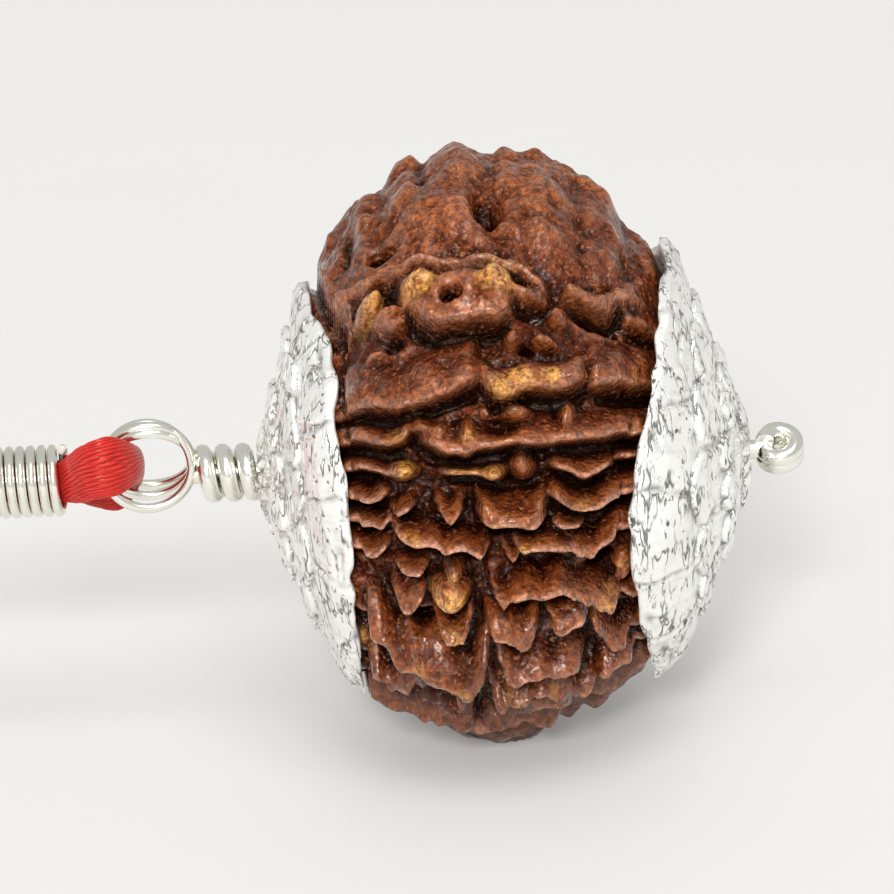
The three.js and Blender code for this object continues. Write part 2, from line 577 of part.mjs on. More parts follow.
const RING_X = -16.95;            // middle of the ring
const RING_Z = AXIS_HEIGHT + 0.5;
const EYE_X = 14.5;               // middle of the small eye
const EYE_RADIUS = 0.75;
const EYE_RISE = 1.1;             // height of the eye's two close turns, middle of the wire
const EYE_LEAN = THREE.MathUtils.degToRad(32);
const WRAP_RADIUS = 1.02;         // wire wrapped round the shank, middle of the wire
const WRAP_PITCH = 1.0;
const WRAP_TURNS = 2.3;

// The ring's turns lie side by side where they leave the wraps and where the thread pulls on
// them, and fan out above and below.
function ringTurns() {
  const points = [];
  const steps = RING_TURNS * 24;
  for (let i = 0; i <= steps; i += 1) {
    const turn = (i / steps) * RING_TURNS;
    const tilt = THREE.MathUtils.degToRad(along(RING_TILTS, turn));
    const a = turn * 2 * Math.PI;
    const up = RING_RADIUS * Math.sin(a);
    const y = (turn - RING_TURNS / 2) * (RING_WIRE + 0.02) + up * Math.sin(tilt);
    points.push(new THREE.Vector3(RING_X + RING_RADIUS * Math.cos(a), y,
      RING_Z + up * Math.cos(tilt)));
  }
  return points;
}

function wraps() {
  const points = [];
  const steps = Math.round(WRAP_TURNS * 12);
  for (let i = 0; i <= steps; i += 1) {
    const t = i / steps;
    const a = t * WRAP_TURNS * 2 * Math.PI;
    points.push(new THREE.Vector3(-14.55 + t * WRAP_TURNS * WRAP_PITCH,
      WRAP_RADIUS * Math.cos(a), AXIS_HEIGHT + WRAP_RADIUS * Math.sin(a)));
  }
  return points;
}

// Two close turns round an axis that leans towards the viewer; each half turn is one tube that
// laps a little into the next.
function eyeHalfTurn(number) {
  const points = [];
  const steps = 6;
  for (let i = 0; i <= steps; i += 1) {
    const t = (number + (i / steps) * 1.04) / 4;
    const a = Math.PI + t * 4 * Math.PI;
    const deep = EYE_RADIUS * Math.sin(a);
    const high = (t - 0.5) * EYE_RISE;
    points.push(new THREE.Vector3(EYE_X + EYE_RADIUS * Math.cos(a),
      deep * Math.cos(EYE_LEAN) - high * Math.sin(EYE_LEAN),
      AXIS_HEIGHT + deep * Math.sin(EYE_LEAN) + high * Math.cos(EYE_LEAN)));
  }
  return points;
}

function wireGeometry() {
  const radius = WIRE / 2;
  const shank = tube([new THREE.Vector3(-14.9, 0, AXIS_HEIGHT), new THREE.Vector3(0, 0, AXIS_HEIGHT),
    new THREE.Vector3(13.75, 0, AXIS_HEIGHT)], radius, 8, 4);
  const ring = tube(ringTurns(), RING_WIRE / 2, 6, RING_TURNS * 20);
  const wound = tube(wraps(), radius, 8, 24);
  let solid = toManifold(shank).add(toManifold(ring)).add(toManifold(wound));
  for (let number = 0; number < 4; number += 1) {
    solid = solid.add(toManifold(tube(eyeHalfTurn(number), radius, 8, 5)));
  }
  return fromManifold(solid);
}

const BINDING_RIGHT = -21.3;      // end of the binding towards the ring
const BINDING_LEFT = BINDING_RIGHT - BINDING_TURNS * BINDING_PITCH;

class Helix extends THREE.Curve {
  getPoint(t, target = new THREE.Vector3()) {
    const a = t * BINDING_TURNS * 2 * Math.PI;
    return target.set(BINDING_LEFT + t * BINDING_TURNS * BINDING_PITCH,
      BINDING_RADIUS * Math.sin(a), AXIS_HEIGHT + BINDING_RADIUS * Math.cos(a));
  }
}

function bindingGeometry() {
  const options = { steps: BINDING_TURNS * 8, bevelEnabled: false, extrudePath: new Helix() };
  return new THREE.ExtrudeGeometry(roundSection(BINDING_WIRE / 2 - 0.01, 5), options);
}

// The thread runs from the binding over the front of the ring, through it and back behind it; in
// front it lies higher and is spread wider.
function threadGeometry() {
  const path = [[-22.0, -0.35], [-21.2, -0.6], [-20.4, -1.45], [-19.5, -2.15], [-18.7, -2.0],
    [-18.1, -1.15], [-17.8, 0], [-17.75, 1.3], [-18.1, 2.4], [-19.0, 2.9], [-19.9, 2.5],
    [-20.7, 1.5], [-21.3, 0.6], [-22.0, 0.35]];
  const points = path.map(([x, y]) => new THREE.Vector3(x, y, AXIS_HEIGHT));
  const fold = tube(points, 0.6, 10, 24);
  const position = fold.attributes.position;
  for (let i = 0; i < position.count; i += 1) {
    const x = position.getX(i);
    const inFront = smooth(-position.getY(i), -0.3, 0.9);
    const middle = smooth(x, -21.2, -19.8) * (1 - smooth(x, -19.2, -18));
    const z = (position.getZ(i) - AXIS_HEIGHT) * (1.2 + 1.5 * inFront * middle);
    position.setZ(i, AXIS_HEIGHT + z + (0.3 + 0.7 * inFront) * smooth(x, -21.2, -19.5));
  }
  const core = tube([new THREE.Vector3(BINDING_LEFT - 0.4, 0, AXIS_HEIGHT),
    new THREE.Vector3(-21.4, 0, AXIS_HEIGHT)], CORE_RADIUS, 12, 1);
  return fromManifold(toManifold(fold).add(toManifold(core)));
}

// The neck cord is one closed loop: it leaves the binding, comes down to the surface, is wound
// into a coil that lies beside the seed, and comes back to the binding.
const COIL_X = -52;               // middle of the coil
const COIL_RADIUS = 7.5;          // middle of the turns
const COIL_LAYERS = 4;
const COIL_COLUMNS = 3;
const LEAD_OUT = [[-28.97, -0.8, 14.25], [-31.5, -1.0, 14.1], [-34.5, -2.2, 12.4],
  [-37, -4.2, 8.6], [-39.2, -6.3, 4.4], [-41.6, -8.0, 1.6], [-44.2, -8.75, 0.75],
  [-46.8, -8.83, 0.66]];
const LEAD_BACK = [[-46.8, 8.83, 4.6], [-43.5, 8.4, 4.9], [-40.2, 6.8, 6.6], [-37, 4.6, 9.8],
  [-34.2, 2.4, 12.8], [-31.5, 1.1, 14.1], [-28.97, 0.8, 14.25]];

function leadGeometry(route) {
  return tube(route.map((p) => new THREE.Vector3(...p)), CORD / 2, 8, 16);
}

function coilGeometry() {
  const half = COIL_COLUMNS * CORD / 2;
  const top = COIL_LAYERS * CORD;
  const corner = CORD / 2;
  const section = [[-half + corner, 0], [half - corner, 0], [half, corner], [half, top - corner],
    [half - corner, top], [-half + corner, top], [-half, top - corner], [-half, corner],
    [-half + corner, 0]];
  const profile = section.map(([r, z]) => new THREE.Vector2(COIL_RADIUS + r, z));
  const ring = new THREE.LatheGeometry(profile, 28);
  ring.rotateX(Math.PI / 2);
  ring.translate(COIL_X, 0, 0);
  return ring;
}

// A few turns of thread tie the coil together on its far side from the seed.
function coilTieGeometry() {
  const thick = 0.5;
  const wide = 1.6;
  const half = COIL_COLUMNS * CORD / 2 + CLEARANCE;
  const top = COIL_LAYERS * CORD + CLEARANCE;
  const arch = new THREE.Shape([[-half - thick, 0], [-half, 0], [-half, top], [half, top],
    [half, 0], [half + thick, 0], [half + thick, top + thick], [-half - thick, top + thick]]
    .map(([x, y]) => new THREE.Vector2(x, y)));
  const tie = new THREE.ExtrudeGeometry(arch, { depth: wide, bevelEnabled: false });
  tie.translate(0, 0, -wide / 2);
  tie.rotateX(Math.PI / 2);
  tie.translate(COIL_X - COIL_RADIUS, 0, 0);
  return tie;
}

// Materials and scene.

const looks = {
  seed: { color: 0x6e3a22, roughness: 0.38, metalness: 0 },
  silver: { color: 0xe6e4de, roughness: 0.25, metalness: 1 },
  silk: { color: 0xc4201f, roughness: 0.55, metalness: 0 },
};

const object = new THREE.Group();

function addPiece(name, geometry, look) {
  const mesh = new THREE.Mesh(bare(geometry), new THREE.MeshStandardMaterial(look));
  mesh.name = name;
  object.add(mesh);
}

addPiece('seed', seedGeometry(), looks.seed);
addPiece('cap_left', capGeometry(CAPS.left), looks.silver);
addPiece('cap_right', capGeometry(CAPS.right), looks.silver);
addPiece('wire', wireGeometry(), looks.silver);
addPiece('thread', threadGeometry(), looks.silk);
addPiece('binding', bindingGeometry(), looks.silver);
addPiece('cord_out', leadGeometry(LEAD_OUT), looks.silk);
addPiece('cord_back', leadGeometry(LEAD_BACK), looks.silk);
addPiece('cord_coil', coilGeometry(), looks.silk);
addPiece('coil_tie', coilTieGeometry(), looks.silk);

export default object;
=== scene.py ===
"""Rudraksha seed in silver end caps, with its wire ring, red silk thread and coiled neck cord.

Everything stands in the frame of the part: X along the hole through the seed, -Y towards the
viewer, Z up, and the surface that the seed rests on at Z = 0. Sizes below are in millimetres.
"""

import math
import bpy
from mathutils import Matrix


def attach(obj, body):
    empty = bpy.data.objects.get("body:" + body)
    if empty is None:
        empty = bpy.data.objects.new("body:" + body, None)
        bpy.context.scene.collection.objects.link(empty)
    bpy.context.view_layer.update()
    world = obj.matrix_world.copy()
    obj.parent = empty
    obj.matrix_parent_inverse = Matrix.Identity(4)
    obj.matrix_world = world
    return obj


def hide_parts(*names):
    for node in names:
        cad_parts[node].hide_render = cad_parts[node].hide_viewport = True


bl_info = {
    "name": "Rudraksha seed",
    "version": (1, 0, 0),
    "blender": (4, 5, 0),
    "location": "View3D > Sidebar > Rudraksha",
    "description": "Builds a capped rudraksha seed with its thread, and a plain studio round it",
    "category": "Add Mesh",
}

import bpy
import numpy as np
from bpy.props import FloatProperty, FloatVectorProperty, PointerProperty
from mathutils import Quaternion, Vector

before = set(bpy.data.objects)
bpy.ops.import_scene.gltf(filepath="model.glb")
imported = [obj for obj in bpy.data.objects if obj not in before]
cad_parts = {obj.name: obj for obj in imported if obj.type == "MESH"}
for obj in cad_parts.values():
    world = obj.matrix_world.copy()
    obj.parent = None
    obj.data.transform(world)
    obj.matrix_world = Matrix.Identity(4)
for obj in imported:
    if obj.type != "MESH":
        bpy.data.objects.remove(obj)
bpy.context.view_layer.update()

MM = 0.001

# Sizes of the real object, as in the part's source.
AXIS_HEIGHT = 14.25        # hole axis above the surface
SEED_END_LEFT = 9.7
SEED_END_RIGHT = 10.2
SEED_RADIUS = 14.85        # mean radius over the crests of the ridges
SEED_LEAN = 0.85           # the seed is that much fuller above and leaner below
ROUND_POWER = 0.5          # roundness of the seed's outline seen from above
BORE_RADIUS = 1.1
FLAT_RADIUS = 1.9          # worn patch that the seed rests on
SWELL = 0.42               # how far the seed bulges out round the worn patch
CAP_SHEET = 0.45
CAP_HOLE = 0.07            # share of a cap's radius that its middle hole takes
CAP_LOBES = 14
CLEARANCE = 0.1            # air between the seed and the silver

WIRE = 0.94                # wire through the seed
SHANK_LEFT = -15.0
SHANK_RIGHT = 14.1
RING_WIRE = 0.5
RING_RADIUS = 2.2
RING_TURNS = 3
RING_X = -17.05
RING_Z = AXIS_HEIGHT + 0.68
RING_TILTS = [(0, 9), (0.5, 9), (1.5, -21), (2.5, -38), (3, -38)]
WRAP_RADIUS = 1.02
WRAP_PITCH = 1.0
WRAP_TURNS = 2.7
WRAP_START = -14.55
EYE_X = 14.5
EYE_RADIUS = 0.75
EYE_RISE = 1.1             # height of the eye's two turns, middle of the wire
EYE_LEAN = math.radians(32)
EDGE_ANGLE = 50            # degrees; sharper edges of the wires' ends stay sharp

BINDING_WIRE = 0.5
BINDING_RADIUS = 1.57
BINDING_PITCH = 0.535
BINDING_TURNS = 13
BINDING_RIGHT = -21.3
BINDING_LEFT = BINDING_RIGHT - BINDING_TURNS * BINDING_PITCH
THREAD_STRANDS = 34

COIL_X = -52.0             # middle of the coil
COIL_RADIUS = 7.5          # middle of its turns
COIL_LAYERS = 4
COIL_COLUMNS = 3
COIL_TURNS = 12.5
CORD = 1.3                 # thickness
# The cord's two leads between the binding and the coil.
LEAD_OUT = [(-28.97, -0.8, 14.25), (-31.5, -1.0, 14.1), (-34.5, -2.2, 12.4),
            (-37, -4.2, 8.6), (-39.2, -6.3, 4.4), (-41.6, -8.0, 1.6), (-44.2, -8.75, 0.75),
            (-46.8, -8.83, 0.66)]
LEAD_BACK = [(-46.8, 8.83, 4.6), (-43.5, 8.4, 4.9), (-40.2, 6.8, 6.6), (-37, 4.6, 9.8),
             (-34.2, 2.4, 12.8), (-31.5, 1.1, 14.1), (-28.97, 0.8, 14.25)]

# The view that the ridges are laid out in, and that the camera takes.
VIEW_TILT = math.radians(17)
VIEW_DISTANCE = 260.0      # from the camera to the hole axis
PICTURE = 894              # the picture's side, in its own dots
DOTS_PER_MM = 20.0         # at the hole axis
AXIS_DOT = (490.0, 461.0)  # where the middle of the hole axis shows in the picture
ROLL = 0.0448              # the axis falls to the left by this slope


def smooth(x, low, high):
    t = np.clip((x - low) / (high - low), 0, 1)
    return t * t * (3 - 2 * t)


def along(points, x):
    """Value at x of a line through (x, value) points, rounded between them."""
    xs = np.array([p[0] for p in points], float)
    ys = np.array([p[1] for p in points], float)
    x = np.clip(np.asarray(x, float), xs[0], xs[-1])
    i = np.clip(np.searchsorted(xs, x), 1, len(xs) - 1)
    t = (x - xs[i - 1]) / (xs[i] - xs[i - 1])
    return ys[i - 1] + (ys[i] - ys[i - 1]) * (t * 0.4 + t * t * (3 - 2 * t) * 0.6)


def draws(seed):
    state = seed
    while True:
        state = (state * 16807) % 2147483647
        yield state / 2147483647


def scatter(keys, seed=0):
    """One steady random number between 0 and 1 for each row of whole numbers."""
    key = (keys[:, 0] * 73856093) ^ (keys[:, 1] * 19349663) ^ (keys[:, 2] * 83492791)
    key = ((key ^ (seed * 977)) * 2654435761) & 0xFFFFFFFF
    key = ((key ^ (key >> 15)) * 2246822519) & 0xFFFFFFFF
    return ((key ^ (key >> 13)) & 0xFFFF) / 65535


def lumps(points, size, seed=0):
    """Smooth random lumps between -1 and 1 over points in mm, about `size` mm apart."""
    cell = np.floor(points / size).astype(np.int64)
    part = points / size - cell
    part = part * part * (3 - 2 * part)
    total = np.zeros(len(points))
    for corner in range(8):
        step = np.array([corner & 1, corner >> 1 & 1, corner >> 2 & 1])
        share = np.where(step, part, 1 - part)
        value = scatter(cell + step, seed) * 2 - 1
        total += value * share[:, 0] * share[:, 1] * share[:, 2]
    return total


def fullness(x, angle):
    """Share of the middle's radius that the seed has left at x."""
    end = np.where(x < 0, SEED_END_LEFT, SEED_END_RIGHT)
    square = np.where(x < 0, 0.27, 0.34)
    power = square + (ROUND_POWER - square) * np.cos(angle) ** 2
    return np.maximum(1 - (x / end) ** 2, 0) ** power


def crest_radius(x, angle):
    return fullness(x, angle) * (SEED_RADIUS + SEED_LEAN * np.sin(angle))


def seen_at(x, s):
    """Place on the crests, as (x, angle), of what shows x and s mm from the axis' middle."""
    x += ROLL * s
    near, angle = 1, 0
    for _ in range(5):
        radius = float(crest_radius(np.float64(x * near), angle))
        angle = math.asin(min(max(s * near / radius, -0.985), 0.985))
        near = 1 - radius * math.cos(angle) / VIEW_DISTANCE
    return x * near, angle


def ridge(rise, up, down, face, *crest):
    """A ridge over a crest line, `up` mm wide above it and `down` mm below; face flattens it."""
    points = [seen_at(*p) for p in zip(crest[::2], crest[1::2])]
    if points[0][0] < -5.9:
        points[0] = (points[0][0] - 1.6, points[0][1])
    if points[-1][0] > 6.6:
        points[-1] = (points[-1][0] + 1.4, points[-1][1])
    return {"crest": points, "heights": [(0, rise), (1, rise)], "up": up, "down": down,
            "ends": 0.4, "face": face}


def knob(x, s, *sizes):
    """A knob's place, as (x, angle), and its half length, half width and rise."""
    return (*seen_at(x, s), *sizes)


# The ridges on the side that is looked at, from the top down: rise, width above, width below and
# face, then the x and s of each point of the crest line, as they show in that view.
FRONT_RIDGES = [ridge(*row) for row in (
    (2.2, 1.4, 0.4, None, -7, 9.6, -6.1, 9.5, -5.5, 9.9, -4.6, 10, -4.1, 10.3, -3.6, 10.6, -2.4,
     10.4, -1, 10.3, 0.3, 10.35, 1.2, 10, 2.2, 9.4, 3, 9.1),
    (2.5, 2.7, 0.35, 4, -4.75, 8.9, -4.3, 8.2, -3.5, 7.7, -2.5, 7.35, -1.4, 7.5, -0.5, 7.7, 0.3,
     7.6, 0.9, 8, 1.2, 8.6),
    (2.2, 0.9, 0.4, 2, 1.1, 9, 1.6, 8.7, 2.3, 8.6, 3, 8.7),
    (1.8, 2.4, 0.8, None, -8.4, 8.6, -7.4, 8.6, -6.9, 8.3),
    (2.3, 0.7, 0.35, None, -5.7, 7.3, -4.9, 7.2, -4.4, 7.5, -4.15, 8),
    (2.4, 1.3, 0.35, 2.5, 3.6, 8.9, 4.4, 8.4, 5.2, 8.1, 5.8, 7.85, 6.3, 8.2, 6.6, 8.8),
    (2.1, 2.3, 0.5, 2.5, 6.4, 7.5, 7.2, 7, 8.4, 6.8),
    (2.1, 0.4, 0.35, None, -6.35, 5.45, -5.9, 5.75, -5.2, 6.1),
    (2.4, 3.6, 0.35, None, -7.2, 3.35, -6.2, 3.15, -5, 3.05, -4.2, 3.2, -3, 3.45, -2, 3.75, -1.2,
     4.05, -0.5, 4.35),
    (2.6, 1.95, 0.35, 3, -0.6, 4.5, -0.2, 3.9, 0.15, 3.45, 0.6, 3.3, 1.2, 3.4, 1.8, 3.75, 2.4, 3.7,
     3, 3.6, 3.8, 3.7, 4.4, 3.95, 4.85, 4.4),
    (2.3, 3.3, 0.35, 2.5, 4.8, 3.85, 6, 3.75, 7, 3.8, 8.2, 3.9),
    (2.4, 1.3, 0.35, None, -7.1, 1.8, -6.4, 1.4, -5.6, 1.2, -5, 1.15, -4.4, 1.35, -3.95, 1.9),
    (2.4, 1.9, 0.35, None, -4, 1.95, -3.5, 1.25, -2.8, 0.8, -2.2, 0.65, -1.6, 0.7, -1.1, 0.55,
     -0.6, 0.8, 0, 0.75, 2.2, 0.85, 4, 0.95, 6, 1.1, 8, 1.5),
    (2, 0.8, 0.35, None, -6.9, 0.1, -5.9, -0.2, -5.2, -0.5, -4.8, -0.5),
    (2.4, 0.5, 0.35, 2, -2.5, -0.45, -1.5, -0.5, -0.6, -0.6, 0, -0.85, 0.6, -0.6),
    (2.4, 1, 0.4, None, 3, -0.2, 3.9, -0.55, 4.4, -0.95, 4.8, -1, 5.3, -0.75, 6.1, -0.25),
    (2, 0.5, 0.4, None, 6.1, 0.05, 7, -0.05, 8, 0.2),
    (2.2, 0.9, 0.35, None, -6.7, -1.4, -6.1, -1.95, -5.6, -1.75, -5, -1.45),
    (2.3, 1.1, 0.35, None, -5.05, -2.3, -4.7, -2.85, -4.2, -2.5, -3.8, -2.2),
    (2.4, 1.3, 0.35, None, -2.8, -2.1, -2.4, -2.9, -2, -3.25, -1.6, -2.8, -1.35, -2.1),
    (2.5, 1.8, 0.35, 4, -0.75, -2.5, -0.45, -3.25, 0.2, -3.55, 1.2, -3.4, 2.2, -3.45, 2.65, -3.1,
     2.85, -2.4),
    (2.3, 1.3, 0.35, None, 2.9, -2, 4.1, -2.7, 4.9, -2.75, 5.6, -2.55, 6.3, -2.3, 7.8, -1.6),
    (2.1, 0.8, 0.35, None, -6.6, -2.9, -5.9, -3.2, -5.5, -3.5, -5, -3),
    (2.4, 1.2, 0.35, None, -5, -3.6, -4.4, -4, -3.6, -4.2, -2.8, -4.3, -2.4, -4.7, -1.3, -4.7,
     -0.6, -5, -0.25, -5, 0, -4.4),
    (2.4, 1.1, 0.35, None, 1.2, -4, 1.4, -4.6, 1.8, -4.85, 2.3, -4.6, 3, -4.65, 3.9, -4.75, 4.4,
     -5.1, 5.1, -5.25, 5.7, -4.6, 6.3, -4.15, 7.6, -3.8),
    (2, 0.8, 0.35, None, 3, -3.5, 3.8, -3.7, 4.7, -3.75),
    (2.1, 0.8, 0.35, None, 0.75, -5, 1.2, -5.6, 1.75, -5.1),
    (2, 0.8, 0.35, None, -6.9, -4.2, -6.2, -4.7, -5.1, -4.6),
    (2, 0.7, 0.35, None, -4.8, -5.7, -4.2, -5.95, -3.1, -5.85),
    (2.2, 1.2, 0.35, 2, -4.9, -6.9, -4.4, -7.6, -3.9, -7.65, -3.1, -7),
    (2.4, 1.2, 0.35, None, 0, -6.9, 0.4, -7.6, 0.75, -7.75, 1.2, -7.3, 1.9, -7.2, 2.7, -7.4, 3.2,
     -7.2, 3.7, -7.1, 4.3, -7.5, 4.8, -7.8, 5.5, -8, 6.2, -8, 6.6, -7.3),
    (2, 0.6, 0.35, None, 6.3, -7.9, 7.2, -7.9, 8, -7.6),
    (2.4, 1.3, 0.35, 2.5, -2.8, -8.4, -2.4, -9.1, -1.7, -9.4, -1.1, -9.2, -0.75, -8.5),
    (2.4, 1.8, 0.35, 4, -0.3, -8.7, 0, -9.15, 0.8, -9.2, 1.4, -9.6, 1.9, -9.75, 2.3, -9.4, 2.45,
     -8.6),
    (2.4, 1.4, 0.35, 2.5, 2.75, -8.3, 3.1, -9.2, 3.5, -9.1, 4.2, -8.8, 5.1, -8.5),
    (2.3, 1.1, 0.35, None, 5.1, -9.4, 6.1, -10.1, 6.6, -10, 7.9, -9.5),
    (2.5, 2.7, 0.35, 2.2, -6.1, -7.9, -5.5, -8.9, -5, -9.8, -4.5, -10.4, -3.8, -10.6, -3.4, -11,
     -2.6, -11.2, -2, -11.5, -1.4, -11.95, -0.9, -12, -0.2, -11.5, 0.15, -10.7),
    (2.4, 1.5, 0.35, None, 0.35, -10.6, 0.9, -11.5, 1.4, -11.65, 2, -11.4, 2.5, -11.2, 3.2, -11.3,
     3.7, -11, 4.8, -10.8),
    (2.4, 1.4, 0.35, None, -6.9, -9, -6.2, -10.5, -5.5, -11, -5, -11.6, -4, -11.8, -3.4, -11.4,
     -2.8, -11.3, -2.4, -11.6, -2, -12.1, -1.5, -12.8, -1.1, -12.95, -0.7, -12.3),
    (2.4, 1.4, 0.35, None, -0.1, -12, 0.3, -12.8, 0.9, -12.9, 1.3, -12.65, 2, -12.6, 2.6, -12.2,
     3.2, -12.3, 4.6, -12.35, 5.2, -12, 5.6, -11.4, 6.3, -10.9, 7.5, -10.4),
    (2.3, 1.5, 0.5, None, -6.9, -10.7, -5.8, -12.2, -5, -12.9, -3.9, -13.5, -2.8, -13.4),
    (2.4, 1.6, 0.5, None, -3, -13.7, -1.5, -14.3, -0.6, -13.8),
    (2.3, 1.5, 0.5, None, -0.5, -14, 0.5, -14.3, 2.5, -12.9, 4.4, -12.7),
)]

# Rounded knobs on the ridges, and pits (negative rise) eaten into them, as x, s, half length,
# half width and rise.
FRONT_KNOBS = [knob(*row) for row in (
    (-4.6, 14, 0.65, 1.2, 2.3), (-6.5, 12.6, 0.9, 0.9, 2.5), (5.7, 13.1, 0.8, 0.8, 2.9),
    (-4.7, 12, 0.8, 0.5, 2.6), (-1.7, 9, 2.7, 1.7, 2.85), (-3.6, 9.3, 1.2, 1.1, 2.95),
    (0.3, 9.3, 1.1, 1.3, 3), (-6, 8.35, 1, 0.75, 2.8), (-5.2, 7.8, 0.9, 0.6, 2.75),
    (-7.6, 7, 0.65, 0.7, 2.4), (7.3, 8.1, 1, 1.4, 2.5), (3.4, 7.6, 0.5, 0.6, 2.1),
    (1.1, 6.5, 0.4, 0.75, 2.2), (2.7, 6.3, 0.75, 0.4, 2.1), (-1.1, 1.4, 0.45, 1.1, 2.8),
    (-2.6, 1.6, 0.6, 0.6, 2.5), (1.3, 2.5, 0.85, 0.65, 2.5), (3.9, 2.2, 0.45, 1.1, 2.5),
    (-4.4, -0.3, 0.9, 0.65, 2.7), (0.25, -0.6, 0.55, 0.5, 2.7), (1.7, -0.3, 0.7, 0.85, 2.5),
    (-0.25, -2.5, 0.35, 0.9, 2.7), (-1.95, -7, 1.1, 1.2, 2.8), (-1.8, -5.8, 0.55, 0.9, 2.5),
    (6.75, -6.4, 0.5, 1, 2.5), (-2, 8.6, 0.52, 0.45, -2.8), (-5.1, 8.5, 0.45, 0.8, -1.6),
    (-5.4, 11.2, 0.8, 0.8, -2.2), (-0.3, 13.1, 0.55, 1.5, -2.5), (-7.2, 11.8, 0.3, 1.6, -1.2),
    (5.2, 7.45, 1.1, 0.45, -1.6), (1.75, 6.1, 0.3, 0.35, -1.4), (-3.6, 1.3, 0.5, 0.5, -1.2),
    (0.6, 1.7, 0.8, 0.6, -0.7), (1.3, -2.4, 1.1, 0.6, -0.6), (5.5, -6.5, 0.55, 0.5, -2.3),
    (-3.3, -9.2, 0.75, 0.75, -2.2), (-3.5, 15.2, 0.25, 6, -1.1),
)]

# Height of the broad face at the top, along the seed.
BROW = [(-9.5, 1.0), (-8.0, 1.3), (-6.9, 1.7), (-5.9, 2.0), (-4.9, 1.8), (-3.8, 2.3), (-3.2, 2.3),
        (-2.3, 2.3), (-1.3, 2.8), (-0.7, 2.85), (0, 2.4), (0.7, 1.9), (1.7, 2.2), (2.2, 2.0),
        (2.7, 2.2), (4.2, 2.1), (4.9, 1.8), (5.6, 2.2), (6.5, 2.4), (7.0, 1.6), (7.5, 1.8),
        (8.2, 2.1), (9.5, 1.8)]

# Crests that handling has worn down to the pale yellow wood: place, reach and strength.
WORN = [(-3.6, 9.3, 1.0, 1.1), (0.3, 9.5, 1.0, 1.3), (-6.0, 8.4, 0.9, 0.8), (0.6, 3.8, 0.7, 1.0),
        (1.5, 4.2, 0.7, 1.0), (3.0, 4.2, 0.6, 0.9), (-4.3, -0.3, 0.6, 1.1), (0.2, -0.6, 0.6, 0.8),
        (-1.4, -0.35, 0.8, 0.6), (-1.1, 1.3, 0.4, 0.6), (-4.7, 1.6, 0.5, 0.5),
        (-2, -7.2, 0.9, 1.1), (-1.8, -6, 0.4, 0.7), (4.7, -2.6, 0.4, 0.5), (5.8, -7.8, 0.5, 0.6),
        (-3.5, -10.5, 0.4, 0.5), (-6.3, -9.9, 0.5, 0.9), (-1.3, -11.7, 0.5, 0.5),
        (-4.5, 14.3, 0.6, 0.6), (1.2, -12.6, 0.5, 0.6), (-1.7, -9.1, 0.4, 0.6),
        (0.3, -3.4, 0.4, 0.4), (1.8, -4.8, 0.4, 0.7), (3.2, -12.1, 0.4, 0.5),
        (-3.9, -4.0, 0.5, 0.45), (6.8, -6.2, 0.4, 0.5)]

FAR_RIDGES = 18
FAR_START = math.radians(97)
FAR_END = math.radians(281)


def far_ridges():
    """The ridges on the side that isn't looked at run from end to end, at even steps."""
    draw = draws(2741)
    step = (FAR_END - FAR_START) / FAR_RIDGES
    ridges = []
    for i in range(FAR_RIDGES):
        middle = FAR_START + (i + 0.5 + (next(draw) - 0.5) * 0.25) * step
        crest, heights = [], []
        for k in range(17):
            x = -9.6 + 1.2 * k
            crest.append((x, middle + (next(draw) - 0.5) * 0.07))
            heights.append((x, 1.1 if next(draw) < 0.2 else 1.8 + next(draw) * 0.6))
        ridges.append({"crest": crest, "heights": heights, "up": 1.7, "down": 0.6,
                       "ends": 0.6, "face": 0.9})
    return ridges


FAR = far_ridges()


def lower_side(angle):
    """0 on the upper half of the side that is looked at, 1 on its lower half."""
    return smooth(-np.sin(angle), -0.12, 0.12) * smooth(np.cos(angle), -0.1, 0.1)


def ridge_height(item, x, angle, radius):
    """Height that a ridge gives the surface, and its edge and lip there, from 0 to 1; the material
    paints a highlight along the edge and shade on the face above the lip.
    """
    start, end = item["crest"][0][0], item["crest"][-1][0]
    inside = np.clip(np.minimum(x - start, end - x) / item["ends"], 0, 1)
    rounded = np.sqrt(1 - (1 - inside) ** 2)
    above = radius * (angle - along(item["crest"], x))
    reach = np.where(above >= 0, item["up"], item["down"])
    away = np.clip(np.abs(above) / reach, 0, 1)
    slope = item["face"] or 1.45 + 0.15 * smooth(np.sin(angle), -0.1, 0.25)
    bulge = np.where(above >= 0, slope, 1.6)
    edge = rounded * (1 - smooth(np.abs(above - 0.03), 0.03, 0.25))
    lip_shade = 1 - smooth(above, 0.2, 1.0)
    return along(item["heights"], x) * rounded * (1 - away ** bulge), edge, lip_shade


def knob_height(item, x, angle, radius):
    at, middle, along_x, across, rise = item
    away = ((x - at) / along_x) ** 2 + (radius * (angle - middle) / across) ** 2
    return rise * np.sqrt(np.maximum(1 - away, 0))


def groove_height(item, x, angle, radius):
    """The furrow that runs just below a ridge's edge, which the seed's material fills with painted
    shade.
    """
    start, end = item["crest"][0][0], item["crest"][-1][0]
    inside = smooth(np.minimum(x - start, end - x), 0, 0.8)
    below = -radius * (angle - along(item["crest"], x)) - item["down"] - 0.15
    return inside * np.maximum(1 - (below / 0.45) ** 2, 0)


def about_axis(x, radius, around, height=0):
    """Rows of (x, y, z) at a radius from the hole axis."""
    return np.stack([x, -radius * np.cos(around), height + radius * np.sin(around)], 1)


